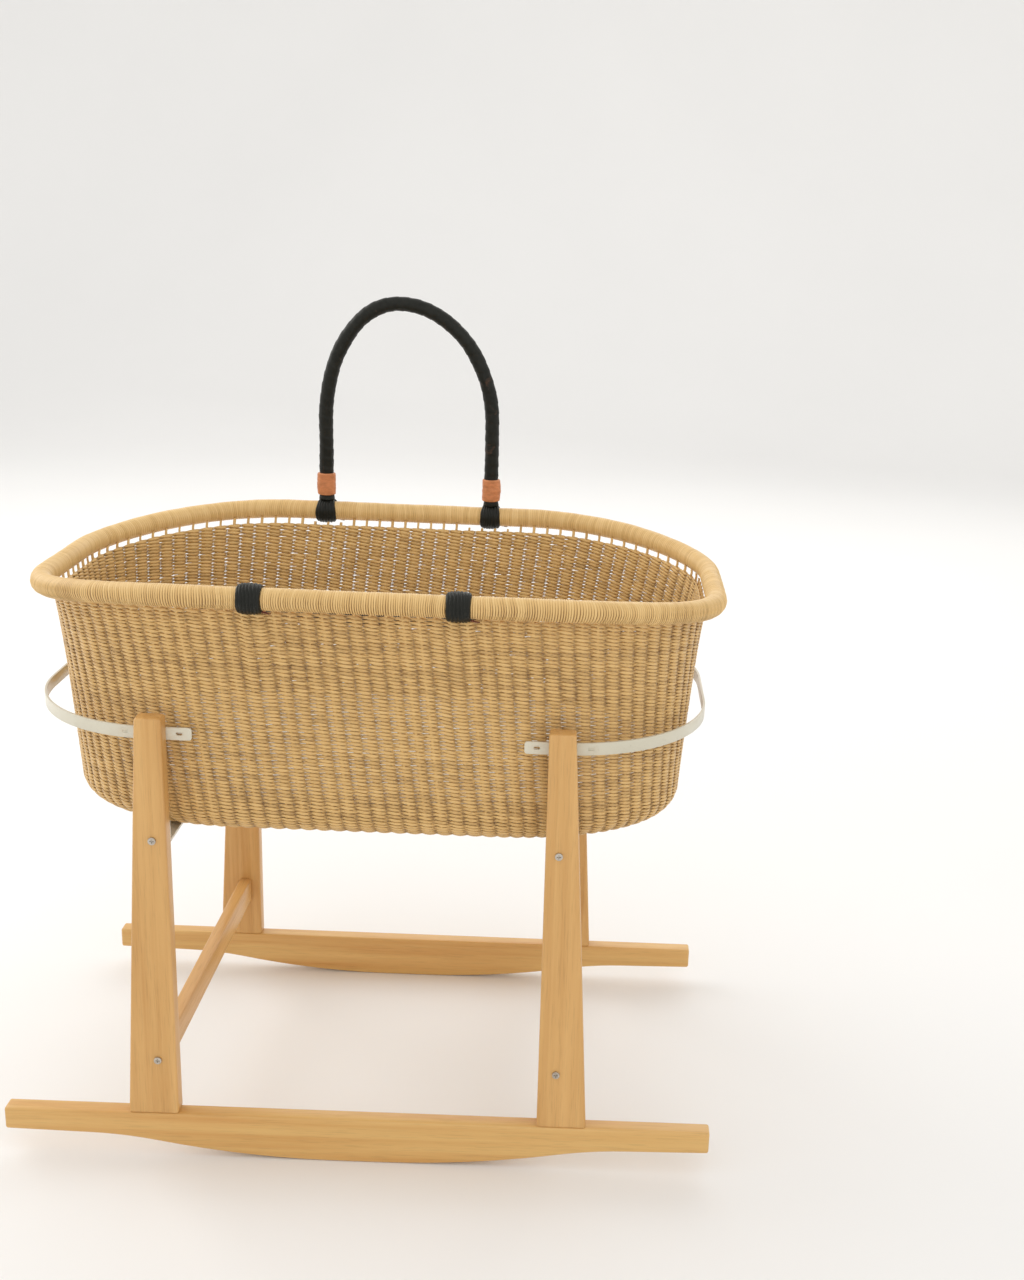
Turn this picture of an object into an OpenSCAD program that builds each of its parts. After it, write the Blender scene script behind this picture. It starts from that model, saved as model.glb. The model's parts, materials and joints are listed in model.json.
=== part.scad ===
// Woven bassinet on a wooden rocking stand.
// Origin on the floor under the middle; +X along the length, +Y towards the raised handle, +Z up.

/* [Stand] */
// Length of each rocker
rocker_length = 760; // [640:1:900]
// Height of a rocker at its middle
rocker_depth = 52; // [44:1:64]
// Radius of the rocking sole
rocker_radius = 1050; // [850:10:1500]
// Length of the flat at the middle of each sole
rocker_flat = 50; // [20:1:90]
// Thickness of the rocker and upright boards
board = 19; // [15:0.5:24]
// Clearance between the boards and the basket's wall at the top of the uprights
side_clearance = 4.8; // [4:0.1:16]
// Height of an upright from the rocker's top edge
upright_height = 451; // [380:1:540]
// Distance from the middle to an upright's inner edge
upright_inner_x = 192.5; // [160:0.5:230]
// Width of an upright at its foot
upright_foot_w = 53; // [42:0.5:66]
// Width of an upright at its top
upright_top_w = 27; // [22:0.5:36]
// Width of a stretcher
stretcher_w = 15; // [12:0.5:20]
// Height of a stretcher's section
stretcher_h = 30; // [24:1:40]
// Height of a stretcher's middle above the rocker's top edge
stretcher_rise = 66; // [50:1:110]
// Distance of a stretcher's middle from the upright's inner edge
stretcher_inset = 19; // [12:0.5:26]

/* [Steel fittings] */
// Height of a band's strip
band_h = 13; // [10:0.5:18]
// Thickness of a band's strip
band_t = 2.4; // [2:0.1:3.2]
// Depth of a band's middle below the top of the uprights
band_drop = 22; // [16:0.5:40]
// Clearance between a band's middle and the end of the basket
end_clearance = 20.5; // [12:0.5:30]
// Corner radius of a band, to its middle line
band_corner = 150; // [90:1:170]
// Length of the tail past the upright's inner edge
band_tail = 25; // [16:0.5:40]
// Width of a cradle strap
strap_w = 26; // [20:0.5:34]
// Thickness of a cradle strap
strap_t = 3; // [2.5:0.5:4]
// Height of a strap's turned-up end
strap_tab = 24; // [20:0.5:34]
// Bolt height above the underside of the strap
strap_bolt_rise = 10; // [8.5:0.5:16]
// Radius of the bolts and screws that show
screw_r = 2.4; // [2:0.1:3]
// Radius of a screw or bolt head
screw_head_r = 4; // [3.5:0.1:5]

/* [Basket] */
// Distance between the rim's middle lines at the two ends
rim_length = 717; // [640:1:800]
// Distance between the rim's middle lines at the two sides
rim_width = 421; // [400:1:470]
// Height of the rim's middle line at the sides
rim_height = 630; // [590:1:680]
// How far the rim dips at the ends
rim_dip = 23; // [0:1:45]
// Radius of the wrapped rim
rim_r = 11.7; // [9:0.1:14]
// Radius of the cane inside the rim
rim_core_r = 6; // [4:0.1:8]
// Length of straight rim past each handle's lacing
straight_margin = 6; // [2:0.5:20]
// Length of the rounded corner along the end
corner_y = 161; // [130:1:190]
// Roundness of the corners, where 2 is an ellipse
corner_power = 2.05; // [2:0.05:2.4]
// Height of the open row between the wall and the rim
open_row = 3.5; // [3:0.1:9]
// Distance between the stakes of the open row
stake_pitch = 15; // [12:0.5:24]
// Radius of a stake
stake_r = 1.2; // [0.8:0.1:1.6]
// Thickness of the woven wall and base
weave_t = 5; // [4:0.5:7]
// Height of the underside of the basket
basket_floor = 365; // [330:1:400]
// Inset of the wall from the rim's middle line at the top
inset_top = 9; // [5:0.5:14]
// Inset of the wall where it turns under
inset_low = 29; // [20:0.5:50]
// How the inset grows on the way down, where 1 is a straight taper
inset_power = 0.7; // [0.5:0.05:1.2]
// How far the basket rests to the right of the stand's middle
basket_shift = 5; // [0:0.5:6]
// Radius of the turn between wall and base
turn_r = 30; // [24:1:40]
// Thickness of the mattress with its sheet
mattress_h = 45; // [30:1:60]
// Thickness of the fitted sheet
sheet_t = 1; // [0.8:0.1:1.5]

/* [Handles] */
// Distance between the two feet of a handle
handle_span = 202; // [160:1:220]
// Height of the arch's top middle line above the rim's middle line
handle_rise = 253; // [220:1:262]
// Height of the arch's curved part
arch_h = 141; // [110:1:160]
// Shift of the arch's top towards the left foot
arch_skew = 12; // [0:1:20]
// Outer radius of the leather grip
grip_r = 9.3; // [8:0.1:11]
// Radius of the cane inside the grip
grip_core_r = 6; // [4:0.1:7]
// Height of the tan collar
collar_h = 27; // [20:1:34]
// Height of the tan collar above the lacing
collar_lift = 4; // [0.2:0.1:6]
// Thickness of the tan collar
collar_t = 2; // [1.5:0.1:3]
// Width of the leather binding round the rim
loop_w = 25.6; // [22:0.1:32]
// Thickness of the leather binding
loop_t = 3.8; // [3:0.1:4.5]
// Running gap between binding and rim
loop_gap = 0.3; // [0.2:0.05:0.5]
// Gap between a folded handle's legs and the top of the wall
fold_gap = 0.3; // [0.2:0.1:2]

/* [Hidden] */

wood = [0.78, 0.58, 0.36];
rocker_wood = [0.80, 0.64, 0.40];
cream = [0.80, 0.77, 0.66];
steel = [0.70, 0.70, 0.68];
straw = [0.80, 0.65, 0.42];
black_leather = [0.16, 0.16, 0.15];
tan_leather = [0.78, 0.47, 0.31];
brown_leather = [0.35, 0.17, 0.12];
cotton = [0.93, 0.92, 0.88];

eps = 0.01;
fit = 0.05;
base_gap = 0.2;
half_length = rim_length / 2;
half_width = rim_width / 2;
half_span = handle_span / 2;
tie_size = [9, 3, 2.6];
corner_x = half_length - half_span - loop_w / 2 - tie_size[0] - straight_margin - basket_shift;

// Basket's wall: its top under the open row, and its inset at share u of the way down from the top
turn_z = basket_floor + turn_r;
function dip(x) = rim_dip * pow(min(max((abs(x) / half_length - 0.4) / 0.6, 0), 1), 2);
function wall_top(x) = rim_height - dip(x) - rim_r - open_row;
function wall_inset(u) = inset_top + (inset_low - inset_top) * pow(u, inset_power);
function inset_at(x, z) = wall_inset(min(max((wall_top(x) - z) / (wall_top(x) - turn_z), 0), 1));

// Faces of the boards, and heights on the stand
upright_top = rocker_depth + upright_height;
inner_y = half_width - inset_at(0, upright_top) + side_clearance;
outer_y = inner_y + board;
board_y = inner_y + board / 2;
stand_inner = 2 * inner_y;
dowel_r = 4;
foot_screw_r = 2.5;
foot_screw_rise = 40;
counterbore_depth = 8;
counterbore_r = 5;

// Rocker sole: a flat, a convex arc, a concave easing arc and a nearly straight tip.
ease_radius = 450;
tip_slope = 0.02;
arc_end = 0.5 * rocker_flat + 0.181 * rocker_radius;
arc_slope = (arc_end - rocker_flat / 2) / rocker_radius;
ease_end = arc_end + ease_radius * (arc_slope - tip_slope);
tip_round = 3;
function arc_rise(s) = pow(max(s - rocker_flat / 2, 0), 2) / (2 * rocker_radius);
function ease_rise(s) =
  arc_rise(arc_end) + arc_slope * (s - arc_end) - pow(s - arc_end, 2) / (2 * ease_radius);
function sole(s) =
  s < arc_end ? arc_rise(s)
  : s < ease_end ? ease_rise(s)
  : ease_rise(ease_end) + tip_slope * (s - ease_end);
sole_steps = 28;
half_rocker = rocker_length / 2;
tip_low = sole(half_rocker);
function corner_arc(cx, cz, r, from, to) =
  [for (i = [0:4]) let (a = from + (to - from) * i / 4) [cx + r * cos(a), cz + r * sin(a)]];
function half_outline() = concat(
  [for (i = [0:sole_steps]) let (s = rocker_flat / 2 + (half_rocker - tip_round - rocker_flat / 2) * i / sole_steps)
    [s, sole(s)]],
  corner_arc(half_rocker - tip_round, tip_low + tip_round, tip_round, -70, 0),
  corner_arc(half_rocker - tip_round, rocker_depth - tip_round, tip_round, 0, 90)
);
function mirrored(points) = [for (i = [len(points) - 1:-1:0]) [-points[i][0], points[i][1]]];

// Screws, bolts and dowels
strap_inset = 1;
upper_bolt_z = basket_floor - base_gap - strap_t + strap_bolt_rise;
lower_screw_z = rocker_depth + stretcher_rise;
stretcher_x = upright_inner_x + stretcher_inset;
strap_x = upright_inner_x + strap_w / 2 + strap_inset;
band_z = upright_top - band_drop;
band_screw_x = upright_inner_x + upright_top_w / 2 + strap_inset;
head_h = 2.2;
screw_length = 62;
stretcher_dowel_z = 9;
dowel_length = 30;
foot_pitch = 15;
foot_mid_x = upright_inner_x + upright_foot_w / 2;
nut_h = 4;
nut_r = 4.6;
band_screw_r = 1.68;
band_screw_depth = 13.3;
band_head_r = 3.6;
slot_len = 6.5;
slot_w = 3.2;
outer_slot_x = upright_inner_x + upright_top_w + 15.25;

// Plan outline of the basket, inset from the rim's middle line: straight sides joined by rounded corners.
corner_steps = 15;
function quarter(d) = [for (i = [0:corner_steps]) let (t = 90 * i / corner_steps)
  [half_length - corner_x + (corner_x - d) * pow(cos(t), 2 / corner_power),
   half_width - corner_y + (corner_y - d) * pow(sin(t), 2 / corner_power)]];
function outline(d) = let (q = quarter(d), n = len(q)) concat(
  q,
  [for (i = [n - 1:-1:0]) [-q[i][0], q[i][1]]],
  [for (p = q) [-p[0], -p[1]]],
  [for (i = [n - 1:-1:0]) [q[i][0], -q[i][1]]]
);

// A ring at inset d whose height climbs by share u from the turn to the wall's top.
function wall_ring(d, u) = [for (p = outline(d)) [p[0], p[1], turn_z + (wall_top(p[0]) - turn_z) * u]];
function flat_ring(d, z) = [for (p = outline(d)) [p[0], p[1], z]];
function turn_ring(r, a) = flat_ring(inset_low + turn_r - r * sin(a), turn_z - r * cos(a));
wall_levels = 7;
turn_levels = 4;

function reversed(v) = [for (i = [len(v) - 1:-1:0]) v[i]];
// Faces between neighbouring rings; closed joins the last ring to the first, otherwise the ends are capped.
module loft(rings, closed = false) {
  n = len(rings[0]);
  m = len(rings);
  last = closed ? m - 1 : m - 2;
  sides = [for (k = [0:last]) for (i = [0:n - 1])
    [k * n + i, k * n + (i + 1) % n, ((k + 1) % m) * n + (i + 1) % n, ((k + 1) % m) * n + i]];
  split = [for (f = sides) each [[f[0], f[1], f[2]], [f[0], f[2], f[3]]]];
  caps = closed ? [] : [[for (i = [n - 1:-1:0]) i], [for (i = [0:n - 1]) (m - 1) * n + i]];
  polyhedron(points = [for (r = rings) each r], faces = concat(split, caps), convexity = 8);
}

// A ring of n points of radius r about p, in the plane of u and v
function cross3(a, b) = [a[1] * b[2] - a[2] * b[1], a[2] * b[0] - a[0] * b[2], a[0] * b[1] - a[1] * b[0]];
function unit(v) = v / norm(v);
function circle_at(p, u, v, r, n) = [for (i = [0:n - 1]) p + r * (cos(360 * i / n) * u + sin(360 * i / n) * v)];

// Middle line of the rim
rim_path = [for (p = outline(0)) [p[0], p[1], rim_height - dip(p[0])]];
function rim_rings(r, n) = let (m = len(rim_path)) [for (k = [0:m - 1])
  let (
    ahead = rim_path[(k + 1) % m],
    behind = rim_path[(k + m - 1) % m],
    across = unit(cross3(unit(ahead - behind), [0, 0, 1])),
    upward = unit(cross3(across, unit(ahead - behind)))
  ) circle_at(rim_path[k], across, upward, r, n)];

// Middle line of a handle, seen from the front: two plumb legs and two quarter ellipses.
leg_top = handle_rise - arch_h;
leg_bottom = rim_r + loop_gap + 2;
arch_steps = 11;
function arch(t) = [
  -arch_skew - cos(t) * (cos(t) > 0 ? half_span - arch_skew : half_span + arch_skew),
  leg_top + arch_h * sin(t)
];
handle_path = concat(
  [[-half_span, leg_bottom], [-half_span, leg_top * 0.6]],
  [for (i = [0:2 * arch_steps]) arch(90 * i / arch_steps)],
  [[half_span, leg_top * 0.6], [half_span, leg_bottom]]
);
function handle_rings(r, n) = let (m = len(handle_path)) [for (k = [0:m - 1])
  let (
    ahead = handle_path[min(k + 1, m - 1)],
    behind = handle_path[max(k - 1, 0)],
    along = k < 2 ? [0, 1] : k > m - 3 ? [0, -1] : unit(ahead - behind)
  ) circle_at([handle_path[k][0], 0, handle_path[k][1]], [along[1], 0, -along[0]], [0, 1, 0], r, n)];
collar_base = rim_r + loop_gap + loop_t + collar_lift;
collar_r = grip_r + fit + collar_t;

// Angle by which the folded handle has swung in from upright: its legs come to rest on the top of the wall,
// under the collars where these start higher up the legs than the wall's edge
edge_drop = rim_r + open_row;
edge_in = inset_top + weave_t;
edge_run = norm([edge_drop, edge_in]);
rest_run = sqrt(pow(edge_run, 2) - pow(grip_r + fold_gap, 2));
leg_r = rest_run + (collar_r - grip_r) / 2 < collar_base - fold_gap ? grip_r : collar_r;
fold_angle = 90 + atan2(edge_drop, edge_in) - asin((leg_r + fold_gap) / edge_run);

// Puts a shape drawn round the rim's axis on the front or back side of the basket.
module on_side(side, turn) {
  translate([0, side * half_width, rim_height]) rotate([side * turn, 0, 0]) children();
}
module four_corners() {
  for (sx = [-1, 1]) for (sy = [-1, 1]) scale_sign(sx, sy) children();
}
module scale_sign(sx, sy) {
  mirror([sx < 0 ? 1 : 0, 0, 0]) mirror([0, sy < 0 ? 1 : 0, 0]) children();
}
// A rod of radius r along Y from y0 to y1
module rod_y(x, z, r, y0, y1) {
  translate([x, y0, z]) rotate([-90, 0, 0]) cylinder(h = y1 - y0, r = r, $fn = 32);
}
// A rod of radius r along Z from z0 to z1
module rod_z(x, y, r, z0, z1) {
  translate([x, y, z0]) cylinder(h = z1 - z0, r = r, $fn = 32);
}

// Stand
foot_screw_top = rocker_depth + foot_screw_rise;
foot_z = sole(foot_mid_x);
module foot_bores(y, extra) {
  for (sx = [-1, 1]) {
    for (k = [-1, 1])
      rod_z(sx * (foot_mid_x + k * foot_pitch), y, dowel_r + extra,
            rocker_depth - dowel_length / 2, rocker_depth + dowel_length / 2);
    rod_z(sx * foot_mid_x, y, foot_screw_r + extra, -1, foot_screw_top);
    rod_z(sx * foot_mid_x, y, counterbore_r + extra, -1, foot_z + counterbore_depth);
  }
}
module rocker(side) {
  color(rocker_wood) difference() {
    translate([0, side > 0 ? outer_y : -inner_y, 0]) rotate([90, 0, 0])
      linear_extrude(board) polygon(concat(half_outline(), mirrored(half_outline())));
    foot_bores(side * board_y, fit);
  }
}
module rocker_front() { rocker(-1); }
module rocker_back() { rocker(1); }

module upright(sx, sy) {
  color(wood) difference() {
    scale_sign(sx, sy) difference() {
      translate([0, outer_y, 0]) rotate([90, 0, 0]) linear_extrude(board) polygon([
        [upright_inner_x, rocker_depth],
        [upright_inner_x + upright_foot_w, rocker_depth],
        [upright_inner_x + upright_top_w, upright_top],
        [upright_inner_x, upright_top]
      ]);
      rod_y(strap_x, upper_bolt_z, screw_r + fit, inner_y - 1, outer_y + 1);
      rod_y(stretcher_x, lower_screw_z, screw_r + fit, inner_y - 1, outer_y + 1);
      rod_y(stretcher_x, lower_screw_z + stretcher_dowel_z, dowel_r + fit, inner_y - 1, board_y);
      rod_y(band_screw_x, band_z, band_screw_r + fit, inner_y - 1, inner_y + band_screw_depth);
    }
    foot_bores(sy * board_y, fit);
  }
}
module upright_front_left() { upright(-1, -1); }
module upright_front_right() { upright(1, -1); }
module upright_back_left() { upright(-1, 1); }
module upright_back_right() { upright(1, 1); }

module stretcher(sx) {
  color(wood) difference() {
    translate([sx * stretcher_x - stretcher_w / 2, -inner_y, lower_screw_z - stretcher_h / 2])
      cube([stretcher_w, stand_inner, stretcher_h]);
    for (sy = [-1, 1]) scale_sign(sx, sy) {
      rod_y(stretcher_x, lower_screw_z, screw_r + fit, outer_y - screw_length, inner_y + 1);
      rod_y(stretcher_x, lower_screw_z + stretcher_dowel_z, dowel_r + fit,
            board_y - dowel_length, inner_y + 1);
    }
  }
}
module stretcher_left() { stretcher(-1); }
module stretcher_right() { stretcher(1); }

module cross_head(x, z) {
  difference() {
    rod_y(x, z, screw_head_r, outer_y, outer_y + head_h);
    for (turn = [0, 90]) translate([x, outer_y + head_h, z]) rotate([0, turn, 0])
      cube([screw_head_r * 1.1, head_h, 0.9], center = true);
  }
}
module stretcher_screws() {
  color(steel) four_corners() {
    cross_head(stretcher_x, lower_screw_z);
    rod_y(stretcher_x, lower_screw_z, screw_r, outer_y - screw_length, outer_y);
  }
}
module stretcher_dowels() {
  color(wood) four_corners()
    rod_y(stretcher_x, lower_screw_z + stretcher_dowel_z, dowel_r,
          board_y - dowel_length + 1, board_y - 1);
}
module foot_screws() {
  color(steel) four_corners() {
    rod_z(foot_mid_x, board_y, foot_screw_r, foot_z + counterbore_depth - 1, foot_screw_top - 1);
    rod_z(foot_mid_x, board_y, counterbore_r, foot_z + counterbore_depth - head_h, foot_z + counterbore_depth);
  }
}
module foot_dowels() {
  color(wood) four_corners() for (k = [-1, 1])
    rod_z(foot_mid_x + k * foot_pitch, board_y, dowel_r,
          rocker_depth - dowel_length / 2 + 1, rocker_depth + dowel_length / 2 - 1);
}

// Steel cradle straps under the basket, bent up at both ends
strap_z = basket_floor - base_gap - strap_t;
module cradle_strap(sx) {
  color(cream) difference() {
    union() {
      translate([sx * strap_x - strap_w / 2, -inner_y, strap_z]) cube([strap_w, stand_inner, strap_t]);
      for (sy = [-1, 1]) translate([sx * strap_x - strap_w / 2, sy > 0 ? inner_y - strap_t : -inner_y, strap_z])
        cube([strap_w, strap_t, strap_tab]);
    }
    for (sy = [-1, 1]) scale_sign(sx, sy)
      rod_y(strap_x, upper_bolt_z, screw_r + fit, inner_y - strap_t - 1, inner_y + 1);
  }
}
module cradle_strap_left() { cradle_strap(-1); }
module cradle_strap_right() { cradle_strap(1); }
module strap_bolts() {
  color(steel) four_corners() {
    cross_head(strap_x, upper_bolt_z);
    rod_y(strap_x, upper_bolt_z, screw_r, inner_y - strap_t - nut_h - 1, outer_y);
  }
}
module strap_nuts() {
  color(steel) four_corners() difference() {
    translate([strap_x, inner_y - strap_t, upper_bolt_z]) rotate([90, 30, 0]) cylinder(h = nut_h, r = nut_r, $fn = 6);
    rod_y(strap_x, upper_bolt_z, screw_r + fit, inner_y - strap_t - nut_h - 1, inner_y);
  }
}

// Steel bands that bend round the ends of the basket
band_mid_y = inner_y - band_t / 2;
band_reach = half_length - inset_at(half_length, band_z) + end_clearance + band_t;
band_corner_x = band_reach - band_t / 2 - band_corner;
band_corner_y = band_mid_y - band_corner;
tail_x = upright_inner_x - band_tail;
tail_round = 3;
module band_slot(x) {
  for (k = [-1, 1]) rod_y(x + k * (slot_len - slot_w) / 2, band_z, slot_w / 2, inner_y - band_t - 1, inner_y + 1);
  translate([x - (slot_len - slot_w) / 2, inner_y - band_t - 1, band_z - slot_w / 2])
    cube([slot_len - slot_w, band_t + 2, slot_w]);
}
module band_countersink(sunk, extra) {
  translate([band_screw_x, inner_y - band_t + sunk, band_z]) rotate([-90, 0, 0])
    cylinder(h = band_t - 0.4, r1 = band_head_r + extra, r2 = band_screw_r + extra, $fn = 32);
}
module half_band() {
  difference() {
    union() {
      intersection() {
        translate([band_corner_x, band_corner_y, band_z - band_h / 2]) difference() {
          cylinder(h = band_h, r = band_corner + band_t / 2, $fn = 96);
          translate([0, 0, -1]) cylinder(h = band_h + 2, r = band_corner - band_t / 2, $fn = 96);
        }
        translate([band_corner_x, band_corner_y, band_z - band_h]) cube([band_corner * 2, band_corner * 2, band_h * 2]);
      }
      translate([band_reach - band_t, 0, band_z - band_h / 2]) cube([band_t, band_corner_y + eps, band_h]);
      translate([tail_x + tail_round, inner_y - band_t, band_z - band_h / 2])
        cube([band_corner_x - tail_x - tail_round + eps, band_t, band_h]);
      translate([tail_x, inner_y - band_t, band_z - band_h / 2 + tail_round])
        cube([tail_round + eps, band_t, band_h - 2 * tail_round]);
      for (k = [-1, 1]) rod_y(tail_x + tail_round, band_z + k * (band_h / 2 - tail_round), tail_round,
                              inner_y - band_t, inner_y);
    }
    band_slot(tail_x + band_tail / 2);
    band_slot(outer_slot_x);
    rod_y(band_screw_x, band_z, band_screw_r + fit, inner_y - band_t - 1, inner_y + 1);
    band_countersink(0, fit);
  }
}
module end_band(sx) {
  color(cream) for (sy = [-1, 1]) scale_sign(sx, sy) half_band();
}
module end_band_left() { end_band(-1); }
module end_band_right() { end_band(1); }
module band_screws() {
  color(steel) four_corners() {
    rod_y(band_screw_x, band_z, band_screw_r, inner_y - band_t / 2, inner_y + band_screw_depth - 1);
    band_countersink(fit, 0);
  }
}

// Basket
module in_basket() { translate([basket_shift, 0, 0]) children(); }
module woven_wall() {
  in_basket() color(straw) loft(concat(
    [for (k = [0:turn_levels]) turn_ring(turn_r, 90 * k / turn_levels)],
    [for (k = [1:wall_levels]) wall_ring(wall_inset(1 - k / wall_levels), k / wall_levels)],
    [for (k = [wall_levels:-1:1]) wall_ring(wall_inset(1 - k / wall_levels) + weave_t, k / wall_levels)],
    [for (k = [turn_levels:-1:0]) turn_ring(turn_r - weave_t, 90 * k / turn_levels)]
  ), closed = true);
}
module woven_base() {
  in_basket() color(straw) loft([
    flat_ring(inset_low + turn_r, basket_floor),
    flat_ring(inset_low + turn_r, basket_floor + weave_t)
  ]);
}
function run_length(path, k) = k == 0 ? 0 : run_length(path, k - 1) + norm(path[k] - path[k - 1]);
stake_path = outline(inset_top + weave_t / 2);
function point_at(path, s, k = 0) =
  let (m = len(path), a = path[k % m], b = path[(k + 1) % m], step = norm(b - a))
  s <= step || k >= m ? a + (b - a) * s / step : point_at(path, s - step, k + 1);
stake_run = run_length(stake_path, len(stake_path) - 1) + norm(stake_path[0] - stake_path[len(stake_path) - 1]);
stake_count = round(stake_run / stake_pitch);
binding_clear = loop_w / 2 + tie_size[0] + 2;
function clear_of_bindings(p) =
  abs(p[1]) < half_width - corner_y || abs(abs(p[0] + basket_shift) - half_span) > binding_clear + stake_r;
module rim_stakes() {
  in_basket() color(straw) for (i = [0:stake_count - 1]) {
    p = point_at(stake_path, (i + 0.5) * stake_run / stake_count);
    if (clear_of_bindings(p))
      rod_z(p[0], p[1], stake_r, wall_top(p[0]) - 3, wall_top(p[0]) + open_row + rim_r * 0.8);
  }
}
module rim_core() {
  in_basket() color(straw) loft(rim_rings(rim_core_r, 10), closed = true);
}
module rim_wrap() {
  in_basket() color(straw) difference() {
    loft(rim_rings(rim_r, 16), closed = true);
    loft(rim_rings(rim_core_r + 0.3, 10), closed = true);
  }
}

// Mattress and fitted sheet
sheet_gap = 0.4;
foam_gap = 0.2;
hem_w = 30;
hem_inset = inset_low + turn_r + hem_w;
edge_r = 12;
mattress_top = basket_floor + weave_t + mattress_h;
function pad_rings(d, base) = let (r = turn_r - weave_t - sheet_gap - d) concat(
  base,
  [for (k = [0:turn_levels]) turn_ring(r, 90 * k / turn_levels)],
  [for (k = [0:3]) let (a = 30 * k)
    flat_ring(inset_low + turn_r - r + (edge_r - d) * (1 - cos(a)), mattress_top - edge_r + (edge_r - d) * sin(a))]
);
module mattress_foam() {
  in_basket() color(cotton) loft(pad_rings(sheet_t + foam_gap, []));
}
module fitted_sheet() {
  low = turn_z - (turn_r - weave_t - sheet_gap);
  in_basket() color(cotton) loft(reversed(concat(
    reversed(pad_rings(0, [flat_ring(hem_inset, low)])),
    pad_rings(sheet_t, [flat_ring(hem_inset, low + sheet_t)])
  )));
}

// Handles, each drawn upright round the rim's axis
module handle_core() { color(straw) loft(handle_rings(grip_core_r, 14)); }
module handle_grip() {
  color(black_leather)
    loft(concat(handle_rings(grip_r, 14), reversed(handle_rings(grip_core_r + 0.3, 14))), closed = true);
}
module collar(sx) {
  color(tan_leather) translate([sx * half_span, 0, collar_base]) difference() {
    cylinder(h = collar_h, r = collar_r, $fn = 48);
    translate([0, 0, -1]) cylinder(h = collar_h + 2, r = grip_r + fit, $fn = 48);
  }
}
module binding(sx) {
  color(black_leather) translate([sx * half_span, 0, 0]) difference() {
    rotate([0, 90, 0]) cylinder(h = loop_w, r = rim_r + loop_gap + loop_t, center = true, $fn = 64);
    rotate([0, 90, 0]) cylinder(h = loop_w + 2, r = rim_r + loop_gap, center = true, $fn = 64);
    translate([0, 0, leg_bottom - fit]) cylinder(h = 3 * loop_t, r = grip_r + fit, $fn = 48);
  }
}
// Knotted end of the lacing, beside the binding and low on the outer side
tie_angle = 24;
module tie(sx, angle) {
  color(brown_leather) rotate([angle, 0, 0])
    translate([sx * half_span + loop_w / 2, -tie_size[1] / 2, -(rim_r + loop_gap + 0.2 + tie_size[2])])
      cube(tie_size);
}
module back_handle_core() { on_side(1, 0) handle_core(); }
module back_handle_grip() { on_side(1, 0) handle_grip(); }
module back_collar_left() { on_side(1, 0) collar(-1); }
module back_collar_right() { on_side(1, 0) collar(1); }
module back_binding_left() { on_side(1, 0) binding(-1); }
module back_binding_right() { on_side(1, 0) binding(1); }
module back_tie_left() { on_side(1, 0) tie(-1, tie_angle); }
module back_tie_right() { on_side(1, 0) tie(1, tie_angle); }
module front_handle_core() { on_side(-1, fold_angle) handle_core(); }
module front_handle_grip() { on_side(-1, fold_angle) handle_grip(); }
module front_collar_left() { on_side(-1, fold_angle) collar(-1); }
module front_collar_right() { on_side(-1, fold_angle) collar(1); }
module front_binding_left() { on_side(-1, fold_angle) binding(-1); }
module front_binding_right() { on_side(-1, fold_angle) binding(1); }
module front_tie_left() { on_side(-1, fold_angle) tie(-1, fold_angle - tie_angle); }
module front_tie_right() { on_side(-1, fold_angle) tie(1, fold_angle - tie_angle); }

rocker_front();
rocker_back();
upright_front_left();
upright_front_right();
upright_back_left();
upright_back_right();
stretcher_left();
stretcher_right();
cradle_strap_left();
cradle_strap_right();
end_band_left();
end_band_right();
stretcher_screws();
stretcher_dowels();
foot_screws();
foot_dowels();
strap_bolts();
strap_nuts();
band_screws();
woven_wall();
woven_base();
rim_stakes();
rim_core();
rim_wrap();
mattress_foam();
fitted_sheet();
back_handle_core();
back_handle_grip();
back_collar_left();
back_collar_right();
back_binding_left();
back_binding_right();
back_tie_left();
back_tie_right();
front_handle_core();
front_handle_grip();
front_collar_left();
front_collar_right();
front_binding_left();
front_binding_right();
front_tie_left();
front_tie_right();
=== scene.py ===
"""A woven bassinet on a wooden rocking stand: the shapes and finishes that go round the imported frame."""

import json
import math

import bpy
import numpy as np
from bpy.props import FloatProperty, FloatVectorProperty, IntProperty, PointerProperty
from mathutils import Matrix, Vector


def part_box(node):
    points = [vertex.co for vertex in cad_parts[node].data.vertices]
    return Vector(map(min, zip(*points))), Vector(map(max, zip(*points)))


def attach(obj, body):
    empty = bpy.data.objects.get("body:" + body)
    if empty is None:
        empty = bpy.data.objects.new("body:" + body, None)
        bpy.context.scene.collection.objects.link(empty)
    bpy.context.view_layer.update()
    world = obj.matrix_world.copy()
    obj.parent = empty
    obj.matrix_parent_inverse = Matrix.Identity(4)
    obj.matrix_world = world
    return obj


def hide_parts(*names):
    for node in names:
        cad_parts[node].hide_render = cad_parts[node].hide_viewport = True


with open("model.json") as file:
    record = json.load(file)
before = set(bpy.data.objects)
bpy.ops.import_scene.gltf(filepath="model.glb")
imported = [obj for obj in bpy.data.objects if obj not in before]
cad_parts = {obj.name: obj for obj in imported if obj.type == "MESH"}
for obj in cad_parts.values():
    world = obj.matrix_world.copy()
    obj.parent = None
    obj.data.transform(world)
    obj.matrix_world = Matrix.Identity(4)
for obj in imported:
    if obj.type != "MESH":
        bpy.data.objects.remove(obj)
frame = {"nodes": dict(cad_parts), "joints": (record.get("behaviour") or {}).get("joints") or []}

bl_info = {
    "name": "Woven Bassinet",
    "version": (1, 0, 0),
    "blender": (4, 5, 0),
    "location": "3D View > Sidebar > Bassinet",
    "description": "Boards, weave, leather handles and mattress of a bassinet on a rocking stand",
    "category": "Add Mesh",
}

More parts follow.
